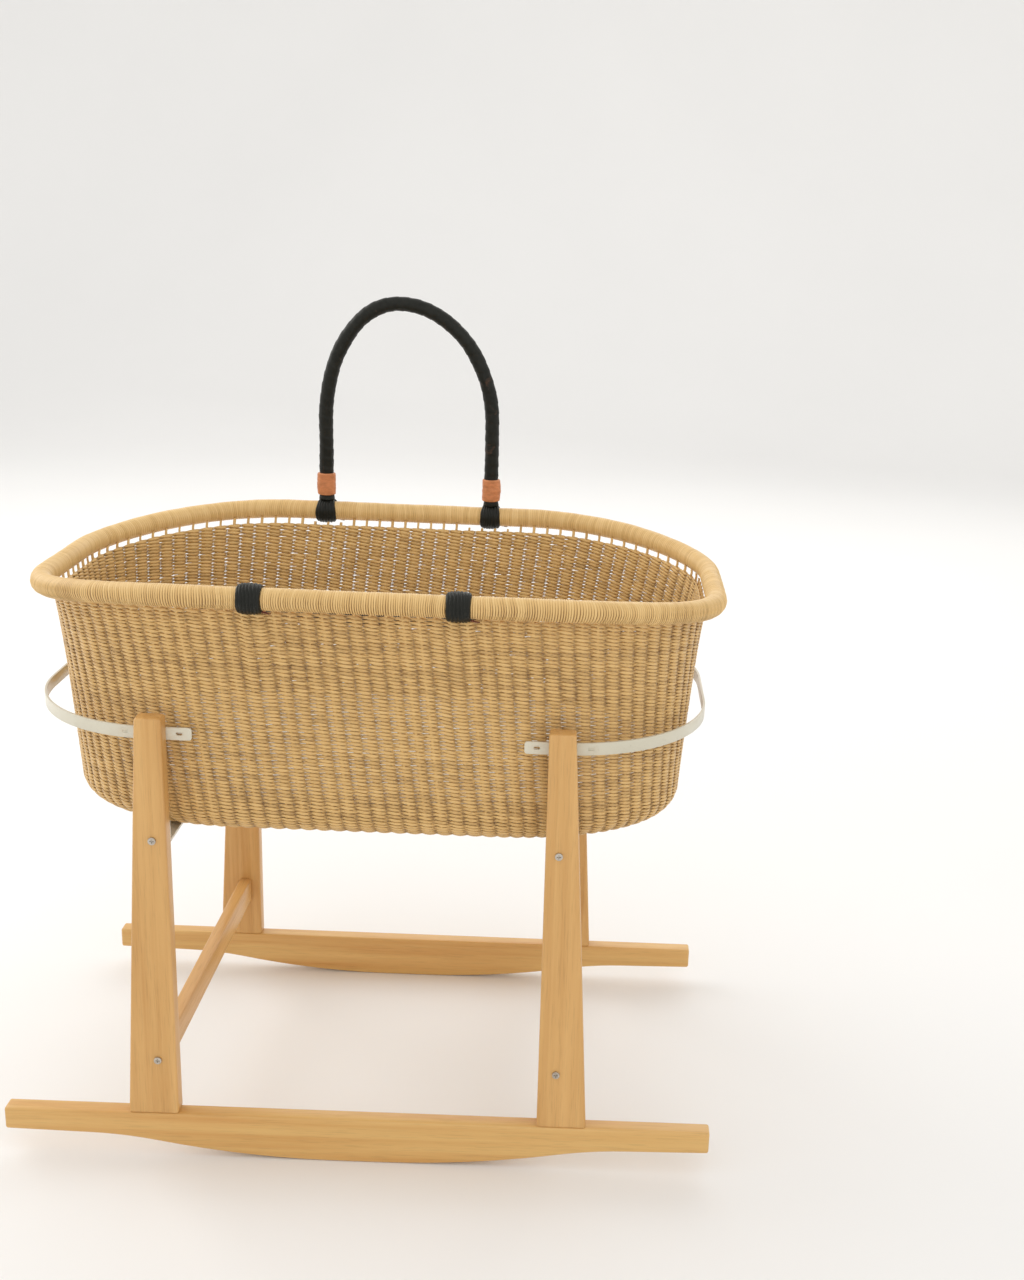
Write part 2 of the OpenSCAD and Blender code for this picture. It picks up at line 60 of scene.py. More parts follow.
# ---------------------------------------------------------------------------
# Places and sizes that the frame gives, in metres
# ---------------------------------------------------------------------------
JOINT_AT = {j["name"]: j.get("pos_m") for j in frame["joints"]}
HALF_WIDTH = JOINT_AT["back_handle_swing"][1]
RIM_HEIGHT = JOINT_AT["back_handle_swing"][2]
RIM_LOW, RIM_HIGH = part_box("rim_wrap")
RIM_R = RIM_HIGH.z - RIM_HEIGHT
HALF_LENGTH = (RIM_HIGH.x - RIM_LOW.x) / 2 - RIM_R
SHIFT = (RIM_HIGH.x + RIM_LOW.x) / 2
RIM_DIP = RIM_HEIGHT - RIM_R - RIM_LOW.z
BASKET_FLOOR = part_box("woven_wall")[0].z
WALL_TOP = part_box("woven_wall")[1].z
BASE_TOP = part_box("woven_base")[1].z
WEAVE_T = BASE_TOP - BASKET_FLOOR
PAD_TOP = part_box("fitted_sheet")[1].z
GRIP_LOW, GRIP_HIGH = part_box("back_handle_grip")
COLLAR_LOW, COLLAR_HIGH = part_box("back_collar_left")
BINDING_LOW, BINDING_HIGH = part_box("back_binding_left")
FOOT_X = -(COLLAR_LOW.x + COLLAR_HIGH.x) / 2
COLLAR_R = (COLLAR_HIGH.x - COLLAR_LOW.x) / 2
BINDING_R = (BINDING_HIGH.z - BINDING_LOW.z) / 2
BINDING_W = BINDING_HIGH.x - BINDING_LOW.x
GRIP_R = (GRIP_HIGH.y - GRIP_LOW.y) / 2
HANDLE_RISE = GRIP_HIGH.z - GRIP_R - RIM_HEIGHT

# Shape of the basket's plan and wall, the same values as the part's
CORNER_X = 0.2247
CORNER_Y = 0.161
CORNER_POWER = 2.05
INSET_TOP = 0.009
INSET_LOW = 0.029
INSET_POWER = 0.7
TURN_R = 0.030
ARCH_H = 0.141
ARCH_SKEW = 0.012
FOLD_ANGLE = math.radians(109.672)
ROCKER_TIP = 0.003

# Rise of the top rows of weave above the frame's wall, and the seed of every random draw
TOP_ROW = 0.0022
SEED = 11


# ---------------------------------------------------------------------------
# Settings
# ---------------------------------------------------------------------------
class WeaveSettings(bpy.types.PropertyGroup):
    row_pitch: FloatProperty(
        name="Row Pitch", default=0.0040, unit="LENGTH",
        description="Distance between rows of weave")
    column_pitch: FloatProperty(
        name="Column Pitch", default=0.0157, unit="LENGTH",
        description="Distance between stakes")
    strand_high: FloatProperty(
        name="Strand Height", default=0.00220, unit="LENGTH",
        description="Half height of a strand where it lies in front")
    strand_low: FloatProperty(
        name="Strand Neck", default=0.00060, unit="LENGTH",
        description="Half height of a strand where two cross")
    strand_deep: FloatProperty(
        name="Strand Depth", default=0.00095, unit="LENGTH",
        description="Half thickness of a strand")
    swing: FloatProperty(
        name="Swing", default=0.0015, unit="LENGTH",
        description="How far a strand goes in front of and behind the stakes")
    slant: FloatProperty(
        name="Slant", default=0.00085, unit="LENGTH",
        description="How far a strand falls as it passes a stake")
    lean: FloatProperty(
        name="Lean", default=0.10,
        description="How far the stakes drift along the wall for each metre down")
    stake_r: FloatProperty(
        name="Stake Radius", default=0.0016, unit="LENGTH",
        description="Radius of the upright stakes")


class RimSettings(bpy.types.PropertyGroup):
    strand: FloatProperty(
        name="Strand", default=0.0024, unit="LENGTH",
        description="Width of a straw wound round the rim")
    groove: FloatProperty(
        name="Groove", default=0.0014, unit="LENGTH",
        description="Depth between the straws")
    lumps: FloatProperty(name="Lumps", description="Unevenness of the rim", default=0.0006, unit="LENGTH")


class WoodSettings(bpy.types.PropertyGroup):
    edge: FloatProperty(
        name="Edge Rounding", default=0.0026, unit="LENGTH",
        description="Radius of the boards' edges")
    pale: FloatVectorProperty(
        name="Pale", default=(0.68, 0.40, 0.140), subtype="COLOR",
        description="Colour of the early wood")
    dark: FloatVectorProperty(
        name="Dark", default=(0.53, 0.265, 0.072), subtype="COLOR",
        description="Colour of the late wood")


class LeatherSettings(bpy.types.PropertyGroup):
    strip: FloatProperty(
        name="Strip", default=0.0125, unit="LENGTH",
        description="Width of the strip wound round a grip")
    black: FloatVectorProperty(
        name="Black", default=(0.0085, 0.0090, 0.0065), subtype="COLOR",
        description="Colour of the black leather")
    tan: FloatVectorProperty(
        name="Tan", default=(0.47, 0.185, 0.078), subtype="COLOR",
        description="Colour of the tan leather")


class PadSettings(bpy.types.PropertyGroup):
    voxel: FloatProperty(
        name="Voxel", default=0.0055, unit="LENGTH",
        description="Cell size of the mattress before it swells")
    pressure: FloatProperty(name="Pressure", description="Pressure that swells the mattress", default=4.0)
    cap: FloatProperty(
        name="Cap", default=0.007, unit="LENGTH",
        description="Most that a point of the mattress may move")
    frames: IntProperty(name="Frames", description="Steps of the cloth simulation", default=20)


class StageSettings(bpy.types.PropertyGroup):
    lens: FloatProperty(name="Lens", description="Focal length in millimetres", default=41.99)
    window: FloatProperty(
        name="Window", default=38.0, unit="POWER",
        description="Power of the big soft light")
    sky: FloatProperty(name="Sky", description="Strength of the light all round", default=0.98)


SETTINGS = {
    "bassinet_weave": WeaveSettings,
    "bassinet_rim": RimSettings,
    "bassinet_wood": WoodSettings,
    "bassinet_leather": LeatherSettings,
    "bassinet_pad": PadSettings,
    "bassinet_stage": StageSettings,
}


# ---------------------------------------------------------------------------
# Meshes from whole arrays
# ---------------------------------------------------------------------------
def grid_faces(m, n, close_m, close_n):
    """Quads between neighbouring points of an m by n grid, joined end to start along a closed direction."""
    i = np.arange(m if close_m else m - 1)[:, None]
    j = np.arange(n if close_n else n - 1)[None, :]
    a = i * n + j
    b = i * n + (j + 1) % n
    c = ((i + 1) % m) * n + (j + 1) % n
    d = ((i + 1) % m) * n + j
    return np.stack([a, b, c, d], axis=-1).reshape(-1, 4)


def make_piece(name, points, faces, caps=(), floats=None):
    """A smooth mesh object from an array of points, an array of quads and a few cap polygons."""
    mesh = bpy.data.meshes.new(name)
    quads = np.asarray(faces, np.int64).reshape(-1, 4)
    loops = np.concatenate([quads.ravel(), *[np.asarray(c, np.int64) for c in caps]])
    sizes = np.concatenate([np.full(len(quads), 4), [len(c) for c in caps]]).astype(np.int64)
    starts = np.concatenate([[0], np.cumsum(sizes)[:-1]])
    mesh.vertices.add(len(points))
    mesh.vertices.foreach_set("co", np.asarray(points, np.float32).ravel())
    mesh.loops.add(len(loops))
    mesh.loops.foreach_set("vertex_index", loops.astype(np.int32))
    mesh.polygons.add(len(sizes))
    mesh.polygons.foreach_set("loop_start", starts.astype(np.int32))
    mesh.polygons.foreach_set("loop_total", sizes.astype(np.int32))
    mesh.polygons.foreach_set("use_smooth", np.full(len(sizes), True))
    for key, values in (floats or {}).items():
        layer = mesh.attributes.new(key, "FLOAT", "POINT")
        layer.data.foreach_set("value", np.asarray(values, np.float32).ravel())
    mesh.update(calc_edges=True)
    mesh.validate()
    piece = bpy.data.objects.new(name, mesh)
    bpy.context.scene.collection.objects.link(piece)
    return piece


def tube_piece(name, rings, closed, floats=None):
    """Rings of points (m, n, 3) joined into a tube: a closed loop, or one with both ends capped."""
    m, n = rings.shape[:2]
    caps = () if closed else (np.arange(n)[::-1], (m - 1) * n + np.arange(n))
    return make_piece(name, rings.reshape(-1, 3), grid_faces(m, n, closed, True), caps, floats)


def strands_piece(name, rings, tint):
    """Many closed loops at once: rings is (loops, samples, sides, 3), with a tint for each sample."""
    count, m, n = rings.shape[:3]
    one = grid_faces(m, n, True, True)
    faces = (one[None] + (np.arange(count) * m * n)[:, None, None]).reshape(-1, 4)
    spread = np.repeat(tint.reshape(-1), n)
    return make_piece(name, rings.reshape(-1, 3), faces, floats={"tint": spread})


def finish_piece(piece, body, slot, material, *nodes):
    """Gives a piece its material and body, and hides the CAD nodes that it stands for; slot is not used."""
    piece.data.materials.append(material)
    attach(piece, body)
    if nodes:
        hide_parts(*nodes)
    return piece


def unit(v):
    return v / np.maximum(np.linalg.norm(v, axis=-1, keepdims=True), 1e-12)


def wave(x, seed, octaves=3):
    """Smooth noise from -1 to 1 along x, as a sum of sines with seeded phases."""
    rng = np.random.default_rng(seed)
    total = np.zeros_like(np.asarray(x, float))
    for k in range(octaves):
        total += np.sin(x * rng.uniform(0.7, 1.3) * 2.1 ** k + rng.uniform(0, 6.28)) / 1.7 ** k
    return total / 1.9


# ---------------------------------------------------------------------------
# Plan and wall of the basket
# ---------------------------------------------------------------------------
def quarter_plan(f, d):
    """Point at share f (0 to 1) of a quarter of the plan, inset by d: half the straight end, a superellipse
    corner |x|^p + |y|^p = 1, then half the straight side."""
    end = 0.13
    side = 0.72
    t = np.clip((f - end) / (side - end), 0, 1) * math.pi / 2
    x = HALF_LENGTH - CORNER_X + (CORNER_X - d) * np.abs(np.cos(t)) ** (2 / CORNER_POWER)
    y = HALF_WIDTH - CORNER_Y + (CORNER_Y - d) * np.abs(np.sin(t)) ** (2 / CORNER_POWER)
    y = y * np.where(f < end, f / end, 1.0)
    x = x * np.where(f > side, (1 - f) / (1 - side), 1.0)
    return x, y


def plan(u, d):
    """Point of the plan at u, where each unit of u is a quarter turn, counter-clockwise from the +X end."""
    k = np.floor(u).astype(int) % 4
    f = u - np.floor(u)
    f = np.where(k % 2 == 1, 1 - f, f)
    x, y = quarter_plan(f, d)
    return x * np.where((k == 1) | (k == 2), -1, 1), y * np.where(k >= 2, -1, 1)


PLAN_U = np.linspace(0, 4, 8001)
PLAN_X, PLAN_Y = plan(PLAN_U % 4, np.float64(0.02))
PLAN_RUN = np.concatenate([[0], np.cumsum(np.hypot(np.diff(PLAN_X), np.diff(PLAN_Y)))])
PLAN_LENGTH = PLAN_RUN[-1]


def plan_at(s, d):
    """Point of the plan at share s of its length, inset by d."""
    return plan(np.interp((s % 1.0) * PLAN_LENGTH, PLAN_RUN, PLAN_U) % 4, d)


def dip(x):
    """How far the rim has dipped at x: nothing along the sides, then growing as a square towards the ends."""
    return RIM_DIP * np.clip((np.abs(x) / HALF_LENGTH - 0.4) / 0.6, 0, 1) ** 2


TURN_Z = BASKET_FLOOR + TURN_R
TURN_MID = TURN_R - WEAVE_T / 2
TURN_RUN = TURN_MID * math.pi / 2
SIDE_RUN = WALL_TOP - TURN_Z
WALL_RUN = TURN_RUN + SIDE_RUN


def wall_at(s, w):
    """Middle of the wall at share s round the plan and run w up from the base: a quarter circle of the turn,
    then a side whose inset falls as a power of the height and whose top follows the rim's dip. The top is
    lower under the folded handle's legs."""
    angle = np.clip(w / TURN_MID, 0, math.pi / 2)
    up = np.clip((w - TURN_RUN) / SIDE_RUN, 0, 1)
    inset = INSET_TOP + (INSET_LOW - INSET_TOP) * (1 - up) ** INSET_POWER + WEAVE_T / 2
    inset = np.where(w < TURN_RUN, INSET_LOW + TURN_R - TURN_MID * np.sin(angle), inset)
    x, y = plan_at(s, inset)
    near = np.exp(-(((np.abs(x + SHIFT) - FOOT_X) / 0.012) ** 4)) * (y < 0)
    top = WALL_TOP + TOP_ROW * (1 - near) * (1 + 0.5 * (x / HALF_LENGTH) ** 2) - dip(x)
    rise = TURN_Z + (top - TURN_Z) * up
    z = np.where(w < TURN_RUN, TURN_Z - TURN_MID * np.cos(angle), rise)
    return np.stack([x + SHIFT, y, z], axis=-1)


def wall_frame(s, w):
    """Point, direction round, direction up and outward direction of the wall, from small differences."""
    step = 1e-4
    p = wall_at(s, w)
    along = unit(wall_at(s + step, w) - wall_at(s - step, w))
    low = np.clip(w - 1e-3, 0, None)
    high = np.clip(w + 1e-3, None, WALL_RUN)
    up = unit(wall_at(s, high) - wall_at(s, low))
    return p, along, up, unit(np.cross(along, up))


# ---------------------------------------------------------------------------
# Materials
# ---------------------------------------------------------------------------
class Nodes:
    """A material's node tree with short calls to add and join nodes."""

    def __init__(self, name):
        self.material = bpy.data.materials.new(name)
        self.material.use_nodes = True
        self.tree = self.material.node_tree
        self.tree.nodes.clear()
        self.out = self.add("ShaderNodeOutputMaterial")
        self.shader = self.add("ShaderNodeBsdfPrincipled")
        self.join(self.shader.outputs["BSDF"], self.out.inputs["Surface"])
        self.place = self.add("ShaderNodeTexCoord").outputs["Object"]

    def add(self, kind, **values):
        node = self.tree.nodes.new(kind)
        for key, value in values.items():
            if key.startswith("in_"):
                node.inputs[key[3:].replace("_", " ")].default_value = value
            else:
                setattr(node, key, value)
        return node

    def join(self, a, b):
        self.tree.links.new(a, b)

    def stretched(self, scale, turn=(0, 0, 0)):
        """Object coordinates scaled by each axis."""
        node = self.add("ShaderNodeMapping")
        node.inputs["Scale"].default_value = scale
        node.inputs["Rotation"].default_value = turn
        self.join(self.place, node.inputs["Vector"])
        return node.outputs["Vector"]

    def noise(self, vector, scale, detail=4.0, rough=0.55, distortion=0.0):
        node = self.add("ShaderNodeTexNoise", in_Scale=scale, in_Detail=detail, in_Roughness=rough)
        node.inputs["Distortion"].default_value = distortion
        self.join(vector, node.inputs["Vector"])
        return node.outputs["Fac"]

    def ramp(self, value, stops):
        """Colours or greys at places from 0 to 1."""
        node = self.add("ShaderNodeValToRGB")
        band = node.color_ramp
        while len(band.elements) < len(stops):
            band.elements.new(0.5)
        for element, (place, colour) in zip(band.elements, stops):
            element.position = place
            element.color = (*colour, 1) if hasattr(colour, "__len__") else (colour, colour, colour, 1)
        self.join(value, node.inputs["Fac"])
        return node.outputs["Color"]

    def mix(self, share, a, b, blend="MIX"):
        node = self.add("ShaderNodeMix", data_type="RGBA", blend_type=blend)
        for socket, value in ((node.inputs["Factor"], share), (node.inputs["A"], a), (node.inputs["B"], b)):
            self.feed(socket, value)
        return node.outputs["Result"]

    def math(self, operation, a, b=0.0):
        node = self.add("ShaderNodeMath", operation=operation)
        self.feed(node.inputs[0], a)
        self.feed(node.inputs[1], b)
        return node.outputs[0]

    def feed(self, socket, value):
        """Joins an output to a socket, or sets its value; colours in a Mix node live in its RGBA sockets."""
        if isinstance(value, bpy.types.NodeSocket):
            self.join(value, socket)
        elif hasattr(value, "__len__"):
            socket.default_value = (*value, 1) if len(value) == 3 else value
        else:
            socket.default_value = value

    def bump(self, height, strength, distance):
        node = self.add("ShaderNodeBump", in_Strength=strength, in_Distance=distance)
        self.join(height, node.inputs["Height"])
        self.join(node.outputs["Normal"], self.shader.inputs["Normal"])

    def attribute(self, name):
        return self.add("ShaderNodeAttribute", attribute_name=name).outputs["Fac"]

    def set(self, **values):
        for key, value in values.items():
            self.feed(self.shader.inputs[key.replace("_", " ")], value)


def wood_material(name, pale, dark, along, across):
    """Pine: long streaks of grain along the board, wide growth bands, fine pores and a satin lacquer."""
    n = Nodes(name)
    stretch = [1 / 0.010] * 3
    stretch[along] = 1 / 0.30
    streaks = n.noise(n.stretched(stretch), 1.0, 5.0, 0.6, 0.35)
    wide = [1 / 0.035] * 3
    wide[along] = 1 / 0.55
    bands = n.noise(n.stretched(wide), 1.0, 2.0, 0.5, 0.8)
    lines = n.add("ShaderNodeTexWave", wave_type="BANDS", bands_direction="XYZ"[across], wave_profile="SAW")
    lines.inputs["Scale"].default_value = 1.0
    lines.inputs["Distortion"].default_value = 2.6
    lines.inputs["Detail"].default_value = 2.0
    lines.inputs["Detail Scale"].default_value = 0.6
    ring = [1 / 0.05] * 3
    ring[along] = 1 / 0.60
    n.join(n.stretched(ring), lines.inputs["Vector"])
    growth = n.ramp(lines.outputs["Fac"], [(0.0, 0.0), (0.72, 0.28), (0.96, 0.95), (1.0, 0.15)])
    body = n.mix(n.ramp(streaks, [(0.28, 0.0), (0.75, 1.0)]), pale, dark)
    body = n.mix(n.math("MULTIPLY", growth, 0.38), body, dark)
    warm = tuple(min(1.0, c * f) for c, f in zip(pale, (1.10, 1.12, 1.18)))
    body = n.mix(n.ramp(bands, [(0.35, 0.0), (0.7, 0.55)]), body, warm)
    pore = [1 / 0.0011] * 3
    pore[along] = 1 / 0.028
    pores = n.noise(n.stretched(pore), 1.0, 2.0, 0.5)
    shade = n.ramp(pores, [(0.30, 0.80), (0.46, 1.0)])
    body = n.mix(0.55, body, shade, "MULTIPLY")
    n.set(Base_Color=body, Roughness=n.ramp(pores, [(0.3, 0.50), (0.6, 0.36)]), Specular_IOR_Level=0.45)
    n.set(Coat_Weight=0.18, Coat_Roughness=0.22)
    n.bump(n.math("ADD", pores, n.math("MULTIPLY", streaks, 0.5)), 0.25, 0.0004)
    return n.material


def straw_material(name, light, mid, deep, gloss, fibre, spread):
    """Dried grass: each strand its own tone, long fibres, warm painted shade between strands where the tint
    is low, and a soft sheen.
    """
    n = Nodes(name)
    tint = n.attribute("tint")
    blotch = n.noise(n.stretched((9, 9, 14)), 1.0, 3.0, 0.6)
    fine = n.noise(n.stretched(fibre), 1.0, 4.0, 0.65)
    shade = n.math("ADD", n.math("MULTIPLY", tint, spread), n.math("MULTIPLY", blotch, 0.14))
    shade = n.math("ADD", shade, n.math("MULTIPLY", fine, 0.86 - spread))
    body = n.ramp(shade, [(0.18, deep), (0.50, mid), (0.86, light)])
    n.set(Base_Color=body, Roughness=n.ramp(fine, [(0.3, gloss + 0.14), (0.7, gloss)]))
    n.set(Specular_IOR_Level=0.55, Sheen_Weight=0.12, Sheen_Roughness=0.4)
    n.bump(fine, 0.35, 0.00035)
    return n.material


def leather_material(name, base, scuff, gloss, grain, streak):
    """Waxed leather: fine cells, soft creases, worn paler where it is handled, and a dull polish."""
    n = Nodes(name)
    cells = n.add("ShaderNodeTexVoronoi", feature="F1", in_Scale=1.0)
    n.join(n.stretched((grain, grain, grain)), cells.inputs["Vector"])
    folds = n.noise(n.stretched(streak), 1.0, 5.0, 0.6, 0.4)
    wear = n.noise(n.stretched((34, 34, 34)), 1.0, 5.0, 0.7, 0.6)
    worn = n.ramp(wear, [(0.60, 0.0), (0.74, 0.75)])
    tone = n.mix(n.ramp(folds, [(0.30, 0.0), (0.72, 0.65)]), base, tuple(c * 1.8 + 0.004 for c in base))
    n.set(Base_Color=n.mix(worn, tone, scuff))
    n.set(Roughness=n.ramp(folds, [(0.3, gloss + 0.16), (0.7, gloss)]), Specular_IOR_Level=0.22)
    height = n.math("ADD", n.math("MULTIPLY", cells.outputs["Distance"], 0.35), folds)
    n.bump(height, 0.45, 0.0005)
    return n.material


def paint_material():
    """Cream enamel: faintly uneven, with small worn and dusty spots."""
    n = Nodes("cream_enamel")
    broad = n.noise(n.stretched((14, 14, 14)), 1.0, 3.0, 0.5)
    specks = n.noise(n.stretched((420, 420, 420)), 1.0, 2.0, 0.5)
    body = n.ramp(broad, [(0.3, (0.60, 0.56, 0.44)), (0.7, (0.70, 0.66, 0.54))])
    body = n.mix(n.ramp(specks, [(0.68, 0.0), (0.78, 0.5)]), body, (0.42, 0.36, 0.26))
    n.set(Base_Color=body, Roughness=n.ramp(specks, [(0.3, 0.30), (0.7, 0.42)]))
    n.set(Coat_Weight=0.3, Coat_Roughness=0.2)
    n.bump(specks, 0.08, 0.0002)
    return n.material


def steel_material():
    """Zinc-plated steel with turned marks and a little tarnish."""
    n = Nodes("plated_steel")
    brushed = n.noise(n.stretched((900, 120, 900)), 1.0, 3.0, 0.6)
    stain = n.noise(n.stretched((160, 160, 160)), 1.0, 4.0, 0.6)
    body = n.mix(n.ramp(stain, [(0.45, 0.0), (0.7, 0.6)]), (0.56, 0.52, 0.46), (0.26, 0.20, 0.14))
    n.set(Base_Color=body, Metallic=0.9, Roughness=n.ramp(brushed, [(0.3, 0.28), (0.7, 0.48)]))
    n.bump(brushed, 0.15, 0.0002)
    return n.material


def cotton_material():
    """Plain woven cotton: crossed threads, slight slubs and a soft nap."""
    n = Nodes("white_cotton")
    threads = {"wave_type": "BANDS", "in_Scale": 210.0, "in_Distortion": 1.2}
    warp = n.add("ShaderNodeTexWave", bands_direction="X", **threads)
    weft = n.add("ShaderNodeTexWave", bands_direction="Y", **threads)
    n.join(n.place, warp.inputs["Vector"])
    n.join(n.place, weft.inputs["Vector"])
    slub = n.noise(n.stretched((60, 420, 200)), 1.0, 3.0, 0.6)
    body = n.ramp(slub, [(0.3, (0.86, 0.84, 0.78)), (0.7, (0.93, 0.915, 0.875))])
    n.set(Base_Color=body, Roughness=n.ramp(slub, [(0.3, 0.86), (0.7, 0.95)]))
    n.set(Sheen_Weight=0.35, Sheen_Roughness=0.5)
    n.bump(n.math("ADD", warp.outputs["Fac"], n.math("ADD", weft.outputs["Fac"], slub)), 0.30, 0.0004)
    return n.material


_made = {}


def material(key):
    """Each finish is made once, when it is first asked for."""
    if key in _made:
        return _made[key]
    wood = bpy.context.scene.bassinet_wood
    leather = bpy.context.scene.bassinet_leather
    pale, dark = tuple(wood.pale), tuple(wood.dark)
    lighter = tuple(c * f for c, f in zip(pale, (1.02, 1.10, 1.10)))
    light, mid, deep = (0.82, 0.57, 0.25), (0.68, 0.43, 0.155), (0.42, 0.215, 0.055)
    # painted shade: the first of these two colours is the shade where twined strands cross, the second the
    # shade in the grooves between the rim's straws
    crevice_shade, groove = (0.20, 0.092, 0.022), (0.26, 0.122, 0.028)
    black, tan = tuple(leather.black), tuple(leather.tan)
    build = {
        "wood_x": lambda: wood_material("pine_rocker", lighter, tuple(c * 1.12 for c in dark), 0, 2),
        "wood_y": lambda: wood_material("pine_stretcher", pale, dark, 1, 2),
        "wood_z": lambda: wood_material("pine_upright", pale, dark, 2, 0),
        "straw_weave": lambda: straw_material(
            "twined_straw", light, mid, crevice_shade, 0.36, (260, 260, 1900), 0.22),
        "straw_rim": lambda: straw_material(
            "wound_straw", light, mid, groove, 0.42, (1300, 1300, 300), 0.68),
        "straw_stake": lambda: straw_material(
            "stake_straw", light, mid, deep, 0.40, (1500, 1500, 120), 0.40),
        "black": lambda: leather_material(
            "black_leather", black, (0.115, 0.060, 0.036), 0.40, 900, (150, 150, 150)),
        "black_lace": lambda: leather_material(
            "black_lacing", black, (0.050, 0.042, 0.032), 0.36, 800, (900, 130, 130)),
        "tan": lambda: leather_material(
            "tan_leather", tan, (0.62, 0.30, 0.15), 0.44, 1100, (120, 120, 260)),
        "brown": lambda: leather_material(
            "brown_lacing", (0.105, 0.030, 0.018), (0.20, 0.075, 0.045), 0.5, 900, (400, 400, 400)),
        "cream": paint_material,
        "steel": steel_material,
        "cotton": cotton_material,
    }
    _made[key] = build[key]()
    return _made[key]


# ---------------------------------------------------------------------------
# Boards
# ---------------------------------------------------------------------------
def rounded_section(half_a, half_b, r, steps=5):
    """Unit-free outline of a rectangle with round corners: arrays of the two coordinates, counter-clockwise.
    half_a and half_b may be arrays, one value for each section along a board."""
    t = np.linspace(0, math.pi / 2, steps)
    turns = np.concatenate([t + k * math.pi / 2 for k in range(4)])
    sign_a = np.repeat([1, -1, -1, 1], steps)
    sign_b = np.repeat([1, 1, -1, -1], steps)
    a = sign_a * (half_a[:, None] - r[:, None]) + r[:, None] * np.cos(turns)
    b = sign_b * (half_b[:, None] - r[:, None]) + r[:, None] * np.sin(turns)
    return a, b


def end_ease(run, r, steps=5):
    """Places along a board of length run that gather at both ends, and how far its section draws in there:
    a quarter circle of radius r at each end."""
    t = np.linspace(0, math.pi / 2, steps)
    near = r * (1 - np.cos(t))
    middle = np.linspace(r, run - r, 60)[1:-1]
    place = np.concatenate([near, middle, run - near[::-1]])
    draw = np.concatenate([r * (1 - np.sin(t)), np.zeros(len(middle)), r * (1 - np.sin(t[::-1]))])
    return place, draw


def outer_corners(node, side):
    """Corners (x, z) of a board's outer face, from the frame."""
    vertices = frame["nodes"][node].data.vertices
    co = np.zeros(len(vertices) * 3, np.float32)
    vertices.foreach_get("co", co)
    co = co.reshape(-1, 3).astype(float)
    face = co[:, 1].max() if side > 0 else co[:, 1].min()
    return co[np.abs(co[:, 1] - face) < 1e-5][:, (0, 2)]


def rocker_edges(node, side, x):
    """Lower and upper edge of a rocker at x: the sole through its outer face's corners, and its level top."""
    _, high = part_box(node)
    corners = outer_corners(node, side)
    below = corners[:, 1] < high.z - ROCKER_TIP
    inside = np.abs(corners[:, 0]) < high.x - ROCKER_TIP + 1e-5
    sole = corners[below & inside]
    sole = sole[np.argsort(sole[:, 0])]
    return np.interp(x, sole[:, 0], sole[:, 1]), np.full_like(x, high.z)


def upright_edges(node, side, z):
    """Inner and outer edge of an upright at z: straight lines between the corners of its outer face."""
    low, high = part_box(node)
    corners = outer_corners(node, side)
    foot = corners[corners[:, 1] < low.z + 1e-5][:, 0]
    top = corners[corners[:, 1] > high.z - 1e-5][:, 0]
    ends = (low.z, high.z)
    return np.interp(z, ends, (foot.min(), top.min())), np.interp(z, ends, (foot.max(), top.max()))


def board_piece(name, node, side, axis, across, edges, edge):
    """A board carried along its length: a rounded rectangle whose two edges follow the frame's outline."""
    low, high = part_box(node)
    run, draw = end_ease(high[axis] - low[axis], edge)
    at = low[axis] + run
    near, far = edges(node, side, at)
    thick = np.full_like(at, (high.y - low.y) / 2) - draw
    r = np.clip(edge - draw * 0.5, edge * 0.3, None)
    a, b = rounded_section((far - near) / 2 - draw, thick, r)
    points = np.zeros((*a.shape, 3))
    points[..., axis] = at[:, None]
    points[..., across] = a + ((far + near) / 2)[:, None]
    points[..., 1] = b + (low.y + high.y) / 2
    return tube_piece(name, points[:, ::-1] if axis == 0 else points, False)


def build_boards():
    edge = bpy.context.scene.bassinet_wood.edge
    for side, word in ((-1, "front"), (1, "back")):
        node = f"rocker_{word}"
        piece = board_piece(f"{node}_board", node, side, 0, 2, rocker_edges, edge)
        finish_piece(piece, "stand", "rocker_wood", material("wood_x"), node)
        for hand in ("left", "right"):
            node = f"upright_{word}_{hand}"
            piece = board_piece(f"{node}_board", node, side, 2, 0, upright_edges, edge)
            finish_piece(piece, "stand", "upright_wood", material("wood_z"), node)
    for hand in ("left", "right"):
        node = f"stretcher_{hand}"
        low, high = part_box(node)
        run, draw = end_ease(high.y - low.y, edge * 0.4)
        half_x = np.full_like(run, (high.x - low.x) / 2) - draw
        half_z = np.full_like(run, (high.z - low.z) / 2) - draw
        a, b = rounded_section(half_x, half_z, np.full_like(run, edge * 0.8))
        y = np.broadcast_to((low.y + run)[:, None], a.shape)
        points = np.stack([a + (low.x + high.x) / 2, y, b + (low.z + high.z) / 2], axis=-1)
        piece = tube_piece(f"{node}_bar", points[:, ::-1], False)
        finish_piece(piece, "stand", "upright_wood", material("wood_y"), node)


# ---------------------------------------------------------------------------
# Steel fittings and hidden wood: the frame's own shapes, with edges eased
# ---------------------------------------------------------------------------
def ease_node(node, width, segments, key):
    """Welds a frame node's loose triangles, rounds its sharp edges and gives it a finish."""
    piece = frame["nodes"][node]
    piece.data.polygons.foreach_set("use_smooth", np.full(len(piece.data.polygons), True))
    weld = piece.modifiers.new("weld", "WELD")
    weld.merge_threshold = 1e-6
    bevel = piece.modifiers.new("ease", "BEVEL")
    bevel.width = width
    bevel.segments = segments
    bevel.limit_method = "ANGLE"
    bevel.angle_limit = math.radians(40)
    bevel.harden_normals = True
    piece.data.materials.clear()
    piece.data.materials.append(material(key))


